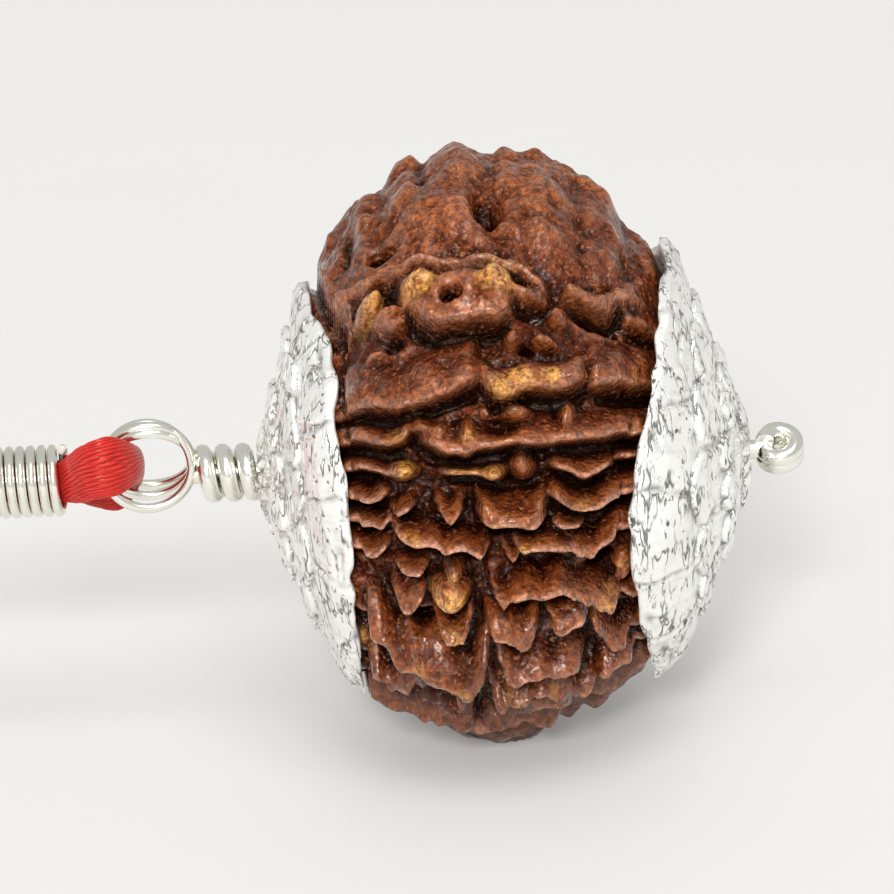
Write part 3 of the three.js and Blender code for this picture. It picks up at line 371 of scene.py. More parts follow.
def relief(x, angle):
    """Height of the surface above the groove floor, in mm, its furrows, and its ridges' edges
    (a thin line) and lips (a wider band). The material paints shade into the furrows and on the
    faces above the lips, and a highlight along the edges."""
    place = about_axis(x, crest_radius(x, angle), angle)
    x = x + 0.15 * lumps(place, 1.7, 11)
    radius = crest_radius(x, angle)
    angle = angle + 0.15 * lumps(place, 1.5, 12) / np.maximum(radius, 3)
    low = lower_side(angle)
    top = smooth(angle, 0.66, 0.86) * (1 - smooth(angle, 1.6, 1.75))
    frill = 0.09 * lumps(place, 0.9, 18) * (1 - 0.6 * top)
    angle = angle + frill / np.maximum(radius, 3)
    floor = 0.75 - 0.35 * low
    ground = floor + (along(BROW, x) - floor) * top
    ground = ground + (0.35 + 0.1 * top) * lumps(place, 1.35, 13)
    ground = ground + 0.5 * top * lumps(place, 2.6, 17) + (0.2 + 0.1 * top) * lumps(place, 0.6, 14)
    furrow = np.zeros_like(x)
    edge = np.zeros_like(x)
    height = np.zeros_like(x)
    lip_shade = 0.35 + 0.4 * top
    for item in FRONT_RIDGES:
        furrow = np.maximum(furrow, groove_height(item, x, angle, radius))
    for item in FRONT_RIDGES + FAR:
        rise, rim, near = ridge_height(item, x, angle, radius)
        edge = np.where(rise > height, rim, edge * (1 - smooth(rise - height, -0.3, 0)))
        lip_shade = np.where((rise > height) & (rise > ground), near, lip_shade)
        height = np.maximum(height, rise)
    rough = 0.13 - 0.05 * low
    small = 0.1 * lumps(place, 0.55, 16) * (height > 0.5)
    height = height * (1 + rough * lumps(place, 1.0, 15)) + small
    # Only edges standing above the ground carry the painted rim highlight, and it is stronger on
    # the lower half.
    edge = np.where(height > ground, edge, 0) * (0.3 + 0.7 * low)
    height = np.maximum(height, ground - furrow * (1 - top))
    for item in FRONT_KNOBS:
        bump = knob_height(item, x, angle, radius)
        lip_shade = np.where(bump > height, 1, lip_shade)
        height = np.maximum(height, bump) if item[-1] > 0 else height + bump
    return height, furrow * (1 - top), edge, lip_shade


# Section of a cap as (share of the rim's radius, share of its depth), and its rings of petals.
CAP_SECTION = [(CAP_HOLE, 1.0), (0.15, 0.96), (0.25, 0.86), (0.4, 0.71), (0.5, 0.59),
               (0.65, 0.45), (0.78, 0.34), (0.9, 0.24), (0.97, 0.12), (1.0, 0)]
CAP_ROWS = [0.26, 0.5, 0.76, 1.0]
BACK_REACH = 0.95          # how far the rims come over the seed at the back
CAPS = {
    "left": {"side": -1, "rim_x": 7.85, "rim": 10.1, "depth": 3.65, "drop": -0.75, "tilt": 0.085,
             "turn": 0.1, "reach": 1.2, "toward": 0.25, "power": 1, "shoulder": 0.6,
             "draw": 31, "tongue": -1.17},
    "right": {"side": 1, "rim_x": 8.65, "rim": 10.75, "depth": 4.25, "drop": 0.1, "tilt": -0.01,
              "turn": 0.3, "reach": 2.4, "toward": -0.18, "power": 2, "shoulder": 0,
              "draw": 57, "tongue": -1.25},
}


def cap_point(cap, share, around, lift):
    """Points of a cap at a share of its radius, `lift` mm off its smooth outside."""
    radius = share * cap["rim"] + lift * share
    z = np.sin(around) * radius
    reach = cap["reach"] * np.maximum(np.cos(around - cap["toward"]), 0) ** cap["power"]
    reach = reach + BACK_REACH * np.maximum(-np.cos(around), 0) ** 2
    shoulder = cap["shoulder"] * np.maximum(np.cos(around - 0.95), 0) ** 60
    rise = along(CAP_SECTION, share) * cap["depth"] + lift * (1 - share ** 3) * 0.9
    out = cap["rim_x"] + rise - (reach + shoulder) * share ** 6
    return np.stack([cap["side"] * out - cap["tilt"] * z * share, -np.cos(around) * radius,
                     z + cap["drop"] * share ** 1.5], -1)


def cap_room(x, around):
    """How far from the axis the seed may reach at x before it would touch a cap."""
    room = np.full_like(x, 50.0)
    for cap in CAPS.values():
        grid = np.array([cap_point(cap, np.full_like(x, share), around, -CAP_SHEET - CLEARANCE)
                         for share in np.linspace(CAP_HOLE, 1, 20)])
        out, far = np.abs(grid[..., 0]), np.hypot(grid[..., 1], grid[..., 2])
        here = np.where(x * cap["side"] > 0, np.abs(x), 0)
        limit = far[-1] + 9 * smooth(out[-1] - here, 0.3, 0.7)
        for i in range(len(grid) - 1, 0, -1):
            inside = (here >= out[i]) & (here < out[i - 1])
            t = np.clip((here - out[i]) / np.maximum(out[i - 1] - out[i], 1e-6), 0, 1)
            limit = np.where(inside, far[i] + (far[i - 1] - far[i]) * t, limit)
        limit = np.where(here >= out[0], far[0], limit)
        room = np.where(x * cap["side"] > 0, limit, room)
    return room


CREST_HEIGHT = 2.5         # height in the tables above that stands for a full crest


def seed_surface(x, angle, depth_of_grooves):
    """Points of the seed's surface, and what its material reads there (height 1 at crests)."""
    around = angle + VIEW_TILT
    radius = crest_radius(x, angle)
    from_bottom = np.arccos(np.clip(-np.sin(around), -1, 1))
    from_flat = np.hypot(x, radius * from_bottom)
    kept = 0.4 + 0.6 * smooth(from_flat, FLAT_RADIUS, FLAT_RADIUS * 2.4)
    kept = kept * (1 + 0.2 * lower_side(angle))
    depth = depth_of_grooves * smooth(fullness(x, angle), 0.15, 0.75) * kept
    height, furrow, edge, lip_shade = relief(x, angle)
    carved = radius - depth + height / CREST_HEIGHT * depth
    worn = 1 - smooth(from_flat, FLAT_RADIUS, FLAT_RADIUS * 1.5)
    carved = carved + SWELL * (1 - smooth(from_flat, FLAT_RADIUS, FLAT_RADIUS * 4))
    carved = carved + (radius + SWELL - carved) * worn
    clear = smooth(from_flat, FLAT_RADIUS, FLAT_RADIUS * 2.2)
    # The under value rises towards the bottom, where the material paints shade.
    return carved, {"height": height / CREST_HEIGHT * (0.4 + 0.6 * clear), "furrow": furrow,
                    "edge": edge * clear, "lip_shade": lip_shade * (0.3 + 0.7 * clear),
                    "under": smooth(-np.sin(around), 0.3, 0.8)}


NEAR_LINES = 400
NEAR_START = math.radians(-79)
NEAR_END = math.radians(95)
FAR_STEPS = 8
ACROSS = 170
ROW_SPREAD = 1.46          # the closer to a quarter turn, the denser the rows near the ends
END_SHARE = 0.996          # share of the way to the seed's ends where its surface stops
BORE_SHARE = 0.985         # and where the lining of its hole stops


def line_angles(x):
    """Angles of the surface lines at x: even in front, along the crests on the far side."""
    near = [NEAR_START + (NEAR_END - NEAR_START) * i / NEAR_LINES for i in range(NEAR_LINES + 1)]
    crests = [float(along(item["crest"], x)) for item in FAR] + [NEAR_START + 2 * math.pi]
    far = []
    for here, after in zip(crests, crests[1:]):
        far += [here + (after - here) * k / FAR_STEPS for k in range(FAR_STEPS)]
    return near + far


def scene_object(name, data):
    obj = bpy.data.objects.new(name, data)
    bpy.context.scene.collection.objects.link(obj)
    return obj


def mesh_object(name, points, faces):
    """A finished mesh piece at the origin; points in mm."""
    mesh = bpy.data.meshes.new(name)
    mesh.from_pydata((np.asarray(points, float) * MM).tolist(), [], faces)
    mesh.validate()
    mesh.polygons.foreach_set("use_smooth", [True] * len(mesh.polygons))
    return scene_object(name, mesh)


def make_active(obj):
    bpy.ops.object.select_all(action="DESELECT")
    obj.select_set(True)
    bpy.context.view_layer.objects.active = obj


def face_outward(close_ends=False, weld=False, edge_angle=None):
    """Turns the active mesh's faces outward; above the edge angle its edges stay sharp."""
    bpy.ops.object.mode_set(mode="EDIT")
    if close_ends:
        bpy.ops.mesh.select_all(action="DESELECT")
        bpy.ops.mesh.select_non_manifold()
        bpy.ops.mesh.edge_face_add()
    bpy.ops.mesh.select_all(action="SELECT")
    if weld:
        bpy.ops.mesh.remove_doubles(threshold=1e-7)
    bpy.ops.mesh.normals_make_consistent(inside=False)
    bpy.ops.object.mode_set(mode="OBJECT")
    if edge_angle:
        bpy.ops.object.shade_smooth_by_angle(angle=math.radians(edge_angle))


def give_values(obj, **values):
    """Numbers for each point of the mesh, which its material reads by name."""
    for name, numbers in values.items():
        attribute = obj.data.attributes.new(name, "FLOAT", "POINT")
        attribute.data.foreach_set("value", np.asarray(numbers, np.float32))


def ring_faces(rings, count, closed=True):
    """Faces of rings of `count` points each; closed joins the last ring to the first."""
    faces = []
    for i in range(rings if closed else rings - 1):
        here, after = i * count, (i + 1) % rings * count
        faces += [(here + j, after + j, after + (j + 1) % count, here + (j + 1) % count)
                  for j in range(count)]
    return faces


def finish_piece(obj, node, material):
    """The piece stands for a node, rides with it and wears its material."""
    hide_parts(node)
    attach(obj, "root")
    obj.data.materials.clear()
    obj.data.materials.append(material)


class Nodes:
    """Short hand for a material's node tree."""

    def __init__(self, name):
        self.material = bpy.data.materials.new(name)
        self.material.use_nodes = True
        self.tree = self.material.node_tree
        self.shader = self.tree.nodes["Principled BSDF"]
        self.place = self.add("ShaderNodeTexCoord").outputs["Object"]

    def feed(self, socket, value):
        if isinstance(value, bpy.types.NodeSocket):
            self.tree.links.new(value, socket)
        else:
            socket.default_value = value

    def add(self, kind, inputs=None, **settings):
        node = self.tree.nodes.new(kind)
        for key, value in settings.items():
            setattr(node, key, value)
        for key, value in (inputs or {}).items():
            self.feed(node.inputs[key], value)
        return node

    def ramp(self, factor, stops):
        node = self.add("ShaderNodeValToRGB", {"Fac": factor})
        elements = node.color_ramp.elements
        while len(elements) < len(stops):
            elements.new(0.5)
        for element, (place, colour) in zip(elements, stops):
            element.position = place
            element.color = (*colour, 1)
        return node.outputs["Color"]

    def mix(self, factor, first, second, blend="MIX"):
        return self.add("ShaderNodeMix", {0: factor, 6: first, 7: second}, data_type="RGBA",
                        blend_type=blend).outputs[2]

    def tint(self, colour, by):
        return self.mix(1.0, colour, by, "MULTIPLY")

    def math(self, operation, *values, clamp=False):
        inputs = dict(enumerate(values))
        return self.add("ShaderNodeMath", inputs, operation=operation, use_clamp=clamp).outputs[0]

    def times(self, first, second, clamp=False):
        return self.math("MULTIPLY", first, second, clamp=clamp)

    def line(self, value, slope, offset, clamp=False):
        """The value times the slope, plus the offset."""
        return self.math("MULTIPLY_ADD", value, slope, offset, clamp=clamp)

    def noise(self, scale, detail=3.0, roughness=0.5, vector=None):
        inputs = {"Scale": scale, "Detail": detail, "Roughness": roughness}
        inputs["Vector"] = vector or self.place
        return self.add("ShaderNodeTexNoise", inputs).outputs["Fac"]

    def bump(self, height, strength, distance, **normal):
        inputs = {"Height": height, "Strength": strength, "Distance": distance, **normal}
        return self.add("ShaderNodeBump", inputs).outputs["Normal"]

    def attribute(self, name):
        return self.add("ShaderNodeAttribute", attribute_name=name).outputs["Fac"]

    def set(self, **values):
        for key, value in values.items():
            self.feed(self.shader.inputs[key.replace("_", " ")], value)
        return self.material


def oiled_seed(look):
    """Oiled brown stone: painted shade in furrows, painted highlights on edges, rough ground,
    yellow worn spots.
    """
    n = Nodes("oiled_seed")
    r, g, b = look.brown
    furrow, relative = n.attribute("furrow"), n.attribute("relative")
    height = n.math("ADD", n.attribute("height"), n.line(n.noise(900, 4, 0.6), 0.5, -0.25))
    # The ramp on relief height paints shade into the low ground between the ridges and a pale
    # painted highlight at the crests, over the stone's own brown.
    brown = n.ramp(height, [
        (0, (r * 0.16, g * 0.1, b * 0.07)), (0.2, (r * 0.5, g * 0.33, b * 0.24)),
        (0.5, (r * 0.8, g * 0.62, b * 0.5)), (0.85, (r * 1.02, g * 0.92, b * 0.85)),
        (1, (r * 1.4, g * 1.45, b * 1.35))])
    blotch = n.ramp(n.noise(420, 3, 0.55), [(0.33, (0.72, 0.58, 0.48)), (0.65, (1.16, 1.1, 1))])
    brown = n.tint(brown, blotch)
    grit = n.ramp(n.noise(2600, 4, 0.65), [
        (0.36, (0.35, 0.25, 0.2)), (0.5, (0.95, 0.9, 0.86)), (0.64, (1.35, 1.4, 1.4))])
    brown = n.mix(0.9, brown, grit, "MULTIPLY")
    # Painted shade: each ridge's face is darker up its receding slope and lighter at its lip.
    face = n.math("ADD", n.attribute("lip_shade"), n.line(n.noise(1000), 0.8, -0.4))
    brown = n.tint(brown, n.ramp(face, [(0.05, (0.76, 0.66, 0.6)), (0.95, (1.08, 1.06, 1))]))
    # Painted shade: places lower than their surroundings are darkened towards near black.
    hollow_shade = n.times(relative, -1.5, clamp=True)
    brown = n.mix(hollow_shade, brown, (r * 0.09, g * 0.04, b * 0.025, 1))
    crest = n.times(n.line(relative, 1.8, -0.35, clamp=True),
                    n.line(n.noise(800), 1.6, -0.3, clamp=True))
    brown = n.mix(n.times(crest, 0.7), brown, (r * 2, g * 1.9, b * 1.2, 1))
    # Painted highlight: a thin pale line along each ridge's rim.
    edge = n.times(n.attribute("edge"), n.times(n.noise(700), 1.7), clamp=True)
    brown = n.mix(n.times(edge, 0.85), brown, (*look.edge, 1))
    # Painted shade: the furrow under each ridge's edge is darkened to near black.
    brown = n.mix(n.times(furrow, 0.85, clamp=True), brown, (0.011, 0.004, 0.002, 1))
    specks = n.ramp(n.noise(2600, 2, 0.6), [(0.38, (0.35, 0.18, 0.08)), (0.5, (1, 1, 1))])
    yellow = n.tint((*look.worn, 1), specks)
    worn = n.times(n.attribute("worn"), n.line(n.noise(1100), 2.2, -0.2), clamp=True)
    worn = n.times(worn, n.line(n.math("SUBTRACT", height, furrow), 3, -0.5, clamp=True))
    colour = n.mix(n.times(worn, 0.95), brown, yellow)
    stipple = n.ramp(n.noise(3400, 4, 0.75), [
        (0.36, (0.42, 0.32, 0.26)), (0.5, (1, 0.97, 0.95)), (0.66, (1.75, 1.75, 1.6))])
    colour = n.tint(colour, stipple)
    # Painted shade: the seed grows darker towards its bottom.
    colour = n.mix(n.attribute("under"), colour, n.tint(colour, (0.6, 0.52, 0.48, 1)))
    rubbed = n.line(relative, 1.4, 0.1, clamp=True)
    grains = n.times(n.line(n.noise(3900, 2), 11, -6.5, clamp=True),
                     n.line(height, 2.2, -0.1, clamp=True))
    grains = n.times(grains, n.line(rubbed, -0.5, 0.75))
    colour = n.mix(grains, colour, (r * 2.3, g * 2.6, b * 2.6, 1))
    coarse = n.bump(n.noise(1700, 5, 0.65), n.line(rubbed, -0.5, 0.95), 0.0002)
    grain = n.add("ShaderNodeTexVoronoi", {"Scale": 3600, "Vector": n.place}).outputs["Distance"]
    normal = n.bump(grain, n.line(rubbed, -0.45, 0.85), 0.0001, Normal=coarse)
    wet = n.line(n.noise(1900, 3, 0.6), 9, -4.6, clamp=True)
    return n.set(Base_Color=colour, Roughness=n.line(n.noise(2500, 2), 0.25, 0.1), Normal=normal,
                 Specular_IOR_Level=0.28, Specular_Tint=(1, 0.6, 0.42, 1),
                 Coat_Weight=n.math("MAXIMUM", wet, rubbed), Coat_Roughness=0.1,
                 Coat_Normal=normal)


def pressed_silver(look):
    """Bright pressed sheet with dark, broken lines of tarnish and painted shade in its creases and
    fine engraved lines.
    """
    n = Nodes("pressed_silver")
    tall = n.add("ShaderNodeMapping", {"Vector": n.place, "Scale": (1.6, 1, 0.38)}).outputs[0]
    broken = n.line(n.noise(900, 3, 0.6), 4, -1.5)
    crease = n.times(n.times(n.attribute("crease"), broken, clamp=True), 0.85)
    lines = []
    for scale, width, gap, middle in ((480, 50, -3.8, 0.5), (760, 36, -4.2, 0.52)):
        away = n.math("ABSOLUTE", n.math("ADD", n.noise(scale, 3, 0.55, tall), -middle))
        gaps = n.line(n.noise(scale * 1.2, 3, 0.6), 9, gap, clamp=True)
        lines.append(n.times(n.line(away, -width, 1, clamp=True), gaps))
    hair = n.math("MAXIMUM", *lines)
    spots = n.line(n.noise(2300, 2), 14, -9.2, clamp=True)
    # Tarnish and painted shade: the creases, the engraved hair lines and a few spots all mix
    # towards the dark tarnish colour.
    dark = n.math("MAXIMUM", n.math("MAXIMUM", crease, hair), spots)
    tone = n.ramp(n.noise(300), [(0.3, (0.9, 0.9, 0.89)), (0.7, (1, 1, 1))])
    colour = n.mix(n.times(dark, 0.95), n.tint((*look.colour, 1), tone), (*look.tarnish_and_shade, 1))
    rough = n.math("ADD", n.line(n.noise(1200), 0.16, look.roughness), n.times(dark, 0.25))
    cut = n.bump(n.line(hair, -1, 1), 0.6, 0.00015)
    normal = n.bump(n.noise(1500, 4, 0.6), 0.3, 0.0001, Normal=cut)
    return n.set(Base_Color=colour, Metallic=0.5, Roughness=rough, Normal=normal)


def drawn_silver(look):
    """Smooth silver wire, a little yellower than the caps."""
    n = Nodes("drawn_silver")
    r, g, b = look.colour
    tone = n.ramp(n.noise(500), [(0.3, (r * 0.9, g * 0.9, b * 0.82)), (0.7, (r, g, b * 0.96))])
    rough = n.line(n.noise(1800, 2), 0.1, look.roughness * 0.75)
    normal = n.bump(n.noise(2200, 2), 0.08, 0.00004)
    return n.set(Base_Color=tone, Metallic=1, Roughness=rough, Normal=normal)


def red_silk(look, strands=True):
    """Satin silk; on the folded thread the strands' own grooves get painted shade and their tops a
    painted highlight.
    """
    n = Nodes("red_silk" if strands else "red_silk_cord")
    r, g, b = look.colour
    if strands:
        # Painted shade in the grooves between strands and a pinkish painted highlight on their
        # tops.
        strand_shade_and_highlight = n.math("ADD", n.attribute("strand"), n.line(n.noise(2200), 0.6, -0.3))
        red = n.ramp(strand_shade_and_highlight, [(0.15, (r * 0.35, g * 0.2, b * 0.3)), (0.6, (r * 0.8, g, b)),
                             (0.95, (r * 1.15, g * 2.2, b * 1.8))])
    else:
        red = n.ramp(n.noise(1500), [(0.35, (r * 0.7, g * 0.6, b * 0.7)), (0.65, (r, g, b))])
    normal = n.bump(n.noise(5200, 3, 0.6), 0.5, 0.00005)
    return n.set(Base_Color=red, Roughness=0.33, Normal=normal, Sheen_Weight=0.08,
                 Sheen_Tint=(1, 0.45, 0.35, 1), Specular_IOR_Level=0.5,
                 Specular_Tint=(1, 0.55, 0.45, 1))


def local_relief(table):
    """How far each place stands above the mean of its surroundings, 1 for half a millimetre."""
    mean = np.zeros_like(table)
    rows = np.arange(len(table))
    for k in range(-4, 5):
        mean += table[np.clip(rows + k, 0, len(table) - 1)]
    around = np.zeros_like(table)
    for k in range(-6, 7):
        around += np.roll(mean, k, axis=1)
    return np.clip((table - around / (9 * 13)) / 0.5, -1, 1)


def seed_piece(look):
    rows = []
    for i in range(ACROSS + 1):
        t = i / ACROSS * 2 - 1
        end = SEED_END_LEFT if t < 0 else SEED_END_RIGHT
        x = END_SHARE * end * math.sin(t * ROW_SPREAD) / math.sin(ROW_SPREAD)
        rows.append((x, line_angles(x)))
    count = len(rows[0][1])
    x = np.repeat([row[0] for row in rows], count)
    angle = np.concatenate([row[1] for row in rows])
    carved, values = seed_surface(x, angle, look.groove_depth / MM)
    table = carved.reshape(ACROSS + 1, count)
    table[1:-1] = 0.25 * table[:-2] + 0.5 * table[1:-1] + 0.25 * table[2:]
    soft = table
    for _ in range(2):
        soft = (soft + np.roll(soft, 1, axis=1) + np.roll(soft, -1, axis=1)) / 3
        soft[1:-1] = (soft[:-2] + soft[1:-1] + soft[2:]) / 3
    facing = angle.reshape(ACROSS + 1, count)
    share = smooth(facing, 0.75, 1.0) * (1 - smooth(facing, 2.0, 2.2))
    table = table + (soft - table) * share
    around = angle + VIEW_TILT
    room = cap_room(x, around)
    carved = np.maximum(np.minimum(table.ravel(), room), BORE_RADIUS + 0.05)
    values["relative"] = local_relief(carved.reshape(ACROSS + 1, count)).ravel()
    points = about_axis(x, carved, around, AXIS_HEIGHT)
    outward = points - np.array([0, 0, AXIS_HEIGHT])
    outward[:, 0] *= 0.6
    outward /= np.linalg.norm(outward, axis=1)[:, None]
    grain = 0.09 * lumps(points, 0.7, 3) + 0.09 * lumps(points, 0.36, 5)
    points += outward * (grain * smooth(room - carved, 0, 0.3))[:, None]
    points[:, 2] = np.maximum(points[:, 2], 0)
    bore = []
    for end in (SEED_END_RIGHT * BORE_SHARE, -SEED_END_LEFT * BORE_SHARE):
        turned = np.array(line_angles(end)) + VIEW_TILT
        bore.append(about_axis(np.full(count, end), BORE_RADIUS, turned, AXIS_HEIGHT))
    bore = np.concatenate(bore)
    seed = mesh_object("seed_surface", np.concatenate([points, bore]),
                       ring_faces(ACROSS + 3, count))
    radius = crest_radius(x, angle)
    values["worn"] = np.zeros(len(x))
    for place_x, place_s, reach, strength in WORN:
        at, a = seen_at(place_x, place_s)
        away = np.hypot(x - at, radius * (angle - a)) / reach
        values["worn"] = np.maximum(values["worn"], strength * (1 - smooth(away, 0.35, 1.3)))
    lining = np.zeros(len(bore))
    give_values(seed, **{name: np.append(value, lining) for name, value in values.items()})
    finish_piece(seed, "seed", oiled_seed(look))


CAP_SECTORS = 448
CAP_RINGS = 128
CAP_INSIDE_RINGS = 14
CAP_SLANT = 1.15           # length along the cap's slope for a millimetre of radius


def petals(cap, share, around):
    """Relief of a cap's overlapping petals in mm, and its creases from 0 to 1, which the material
    darkens with tarnish and painted shade.
    """
    rim = cap["rim"]
    place = cap_point(cap, share, around, 0)
    wide = np.maximum(rim * share, 0.15 * rim)
    share = share + (0.4 * lumps(place, 2.3, cap["draw"]) + 0.15 * lumps(place, 1.0, 24)) / rim
    around = around + 0.75 * lumps(place, 2.6, cap["draw"] + 1) / wide
    around = around + 0.3 * lumps(place, 1.1, cap["draw"] + 2) / wide
    lift = np.zeros_like(share)
    crease = np.zeros_like(share)
    for row in range(len(CAP_ROWS) - 1, -1, -1):
        start = CAP_ROWS[row - 1] if row else CAP_HOLE
        turn = CAP_LOBES * around / (2 * math.pi) + 0.5 * (row % 2) + cap["turn"]
        number = np.floor(turn).astype(np.int64) % CAP_LOBES
        keys = np.stack([number, np.full_like(number, row), np.zeros_like(number)], 1)
        own = [scatter(keys, cap["draw"] + k) for k in range(12)]
        across = (turn - np.floor(turn)) * 2 - 1
        half = math.pi * rim * share / CAP_LOBES
        longer = (own[0] - 0.5) * 0.5 / rim
        round_off = (0.42 - 0.1 * row) * (CAP_ROWS[row] - start) * np.abs(across) ** 2.6
        tip = CAP_ROWS[row] + longer - round_off
        if row == len(CAP_ROWS) - 1:
            tip = np.full_like(share, 1.2)
        before = (tip - share) * rim * CAP_SLANT
        beside = (1 - np.abs(across)) * half
        t = np.clip((share - start) / (tip - start), 0, 1.2)
        body = 0.12 + (0.26 + 0.1 * own[3]) * t ** 0.8
        body = body * np.clip(beside / 0.25, 0, 1) ** 0.3
        inner = np.minimum(before, beside)
        hem = 0.08 * np.exp(-((inner - 0.3) / 0.14) ** 2)
        lean = (own[5] - 0.5) * 0.5
        rib = 0.13 * np.exp(-((across - lean) * half / 0.2) ** 2) * smooth(t, 0.1, 0.4) * (
            1 - smooth(t, 0.65, 0.9))
        slot_at = (own[7] - 0.5) * 0.9
        slot_long = 0.25 + 0.5 * own[8]
        slot_t = 0.2 + 0.35 * own[9]
        slot = np.exp(-((across - slot_at) / slot_long) ** 4
                      - ((t - slot_t) * (tip - start) * rim / 0.16) ** 2)
        slot = slot * (own[11] < 0.55)
        here = np.where(before > 0, body + hem + rib - 0.3 * slot, 0) * smooth(before, -0.05, 0.1)
        lies_on = here > lift
        lines = np.maximum(np.exp(-(beside / 0.13) ** 2), slot)
        under = np.exp(-((before + 0.08) / 0.14) ** 2) * (before < 0.04)
        crease = np.where(lies_on, lines, np.maximum(crease, under))
        lift = np.maximum(lift, here)
    return lift, np.clip(crease, 0, 1)


def rim_edge(cap, share, turn):
    """How far out the uneven rim comes, with one longer tongue low in front."""
    circle = np.stack([np.cos(turn), np.sin(turn), np.zeros_like(turn)], 1) * cap["rim"]
    uneven = 0.014 * lumps(circle, 2.4, cap["draw"] + 4) + 0.008 * lumps(circle, 1.0, cap["draw"])
    off = (turn - cap["tongue"] + math.pi) % (2 * math.pi) - math.pi
    tongue = 0.045 * np.exp(-(off * cap["rim"] / 0.95) ** 4)
    return 1 + (uneven + tongue - 0.01) * smooth(share, 0.6, 1)


def cap_grid(cap, shares):
    """Shares of the radius and turns of a cap's points, and the shares fitted to its rim."""
    around = np.linspace(0, 2 * math.pi, CAP_SECTORS, endpoint=False)
    share, turn = [grid.ravel() for grid in np.meshgrid(shares, around, indexing="ij")]
    return share, turn, share * rim_edge(cap, share, turn)


def cap_piece(name, look):
    cap = CAPS[name]
    share, turn, cut = cap_grid(cap, np.linspace(CAP_HOLE, 1, CAP_RINGS))
    lift, crease = petals(cap, cut, turn)
    lift = lift * (1 - 0.55 * smooth(share, 0.97, 1)) * (0.5 + 0.5 * smooth(share, 0.1, 0.45))
    place = cap_point(cap, cut, turn, lift)
    small = 0.05 * lumps(place, 0.8, 21) + 0.035 * lumps(place, 0.42, 22)
    outside = cap_point(cap, cut, turn, lift + small * (1 - smooth(share, 0.97, 1)))
    share, turn, cut = cap_grid(cap, np.linspace(1, CAP_HOLE, CAP_INSIDE_RINGS))
    inside = cap_point(cap, cut, turn, -CAP_SHEET)
    faces = ring_faces(CAP_RINGS + CAP_INSIDE_RINGS, CAP_SECTORS)
    if cap["side"] > 0:
        faces = [face[::-1] for face in faces]
    points = np.concatenate([outside, inside]) + (0, 0, AXIS_HEIGHT)
    obj = mesh_object("cap_" + name + "_petals", points, faces)
    # The inside of the sheet takes a middling crease value, so tarnish and painted shade darken it
    # in part.
    give_values(obj, crease=np.append(crease, np.full(len(inside), 0.4)))
    finish_piece(obj, "cap_" + name, pressed_silver(look))


def round_curve(name, points, radius):
    """A round curve that follows points in mm, with closed ends; the radius is in metres."""
    curve = bpy.data.curves.new(name, "CURVE")
    curve.dimensions = "3D"
    curve.bevel_depth = radius
    curve.bevel_resolution = 3
    curve.use_fill_caps = True
    spline = curve.splines.new("POLY")
    spline.points.add(len(points) - 1)
    for point, place in zip(spline.points, points):
        point.co = (*(Vector(place) * MM), 1)
    return scene_object(name, curve)


def ring_points():
    """The ring's turns lie side by side at the wraps and fan out above and below."""
    turn = np.linspace(0, RING_TURNS, RING_TURNS * 64 + 1)
    tilt = np.radians(along(RING_TILTS, turn))
    a = turn * 2 * math.pi
    up = RING_RADIUS * np.sin(a)
    y = (turn - RING_TURNS / 2) * (RING_WIRE + 0.02) + up * np.sin(tilt)
    return np.stack([RING_X + RING_RADIUS * np.cos(a), y, RING_Z + up * np.cos(tilt)], 1)


def wrap_points():
    a = np.linspace(0, WRAP_TURNS * 2 * math.pi, 121)
    return np.stack([WRAP_START + a / (2 * math.pi) * WRAP_PITCH, WRAP_RADIUS * np.cos(a),
                     AXIS_HEIGHT + WRAP_RADIUS * np.sin(a)], 1)


def eye_points():
    """Two close turns of wire whose axis leans towards the viewer."""
    t = np.linspace(0, 1, 97)
    a = math.pi + t * 4 * math.pi
    side, deep, high = EYE_RADIUS * np.cos(a), EYE_RADIUS * np.sin(a), (t - 0.5) * EYE_RISE
    return np.stack([EYE_X + side, deep * math.cos(EYE_LEAN) - high * math.sin(EYE_LEAN),
                     AXIS_HEIGHT + deep * math.sin(EYE_LEAN) + high * math.cos(EYE_LEAN)], 1)


def wire_pieces(look):
    silver = drawn_silver(look)
    shank = [(x, 0, AXIS_HEIGHT) for x in (SHANK_LEFT, 0, SHANK_RIGHT)]
    for name, points, width in (("wire_ring", ring_points(), RING_WIRE),
                                ("wire_wraps", wrap_points(), WIRE), ("wire_shank", shank, WIRE),
                                ("wire_eye", eye_points(), WIRE)):
        make_active(round_curve(name, points, width / 2 * MM))
        bpy.ops.object.convert(target="MESH")
        face_outward(weld=True, edge_angle=EDGE_ANGLE)
        finish_piece(bpy.context.view_layer.objects.active, "wire", silver)


def binding_piece(look):
    """A circle of wire's section, wound by a screw round the thread."""
    bpy.ops.object.select_all(action="DESELECT")
    bpy.ops.mesh.primitive_circle_add(vertices=12, radius=BINDING_WIRE / 2 * MM,
                                      location=Vector((BINDING_LEFT, 0, BINDING_RADIUS)) * MM,
                                      rotation=(math.pi / 2, 0, 0))
    obj = bpy.context.view_layer.objects.active
    obj.name = obj.data.name = "binding_wire"
    bpy.ops.object.transform_apply(location=True, rotation=True, scale=True)
    screw = obj.modifiers.new("winding", "SCREW")
    screw.axis = "X"
    screw.screw_offset = BINDING_PITCH * MM
    screw.iterations = BINDING_TURNS
    screw.steps = screw.render_steps = 40
    screw.use_merge_vertices = False
    bpy.ops.object.modifier_apply(modifier=screw.name)
    for vertex in obj.data.vertices:
        vertex.co.z += AXIS_HEIGHT * MM
    face_outward(close_ends=True, edge_angle=EDGE_ANGLE)
    finish_piece(obj, "binding", drawn_silver(look))


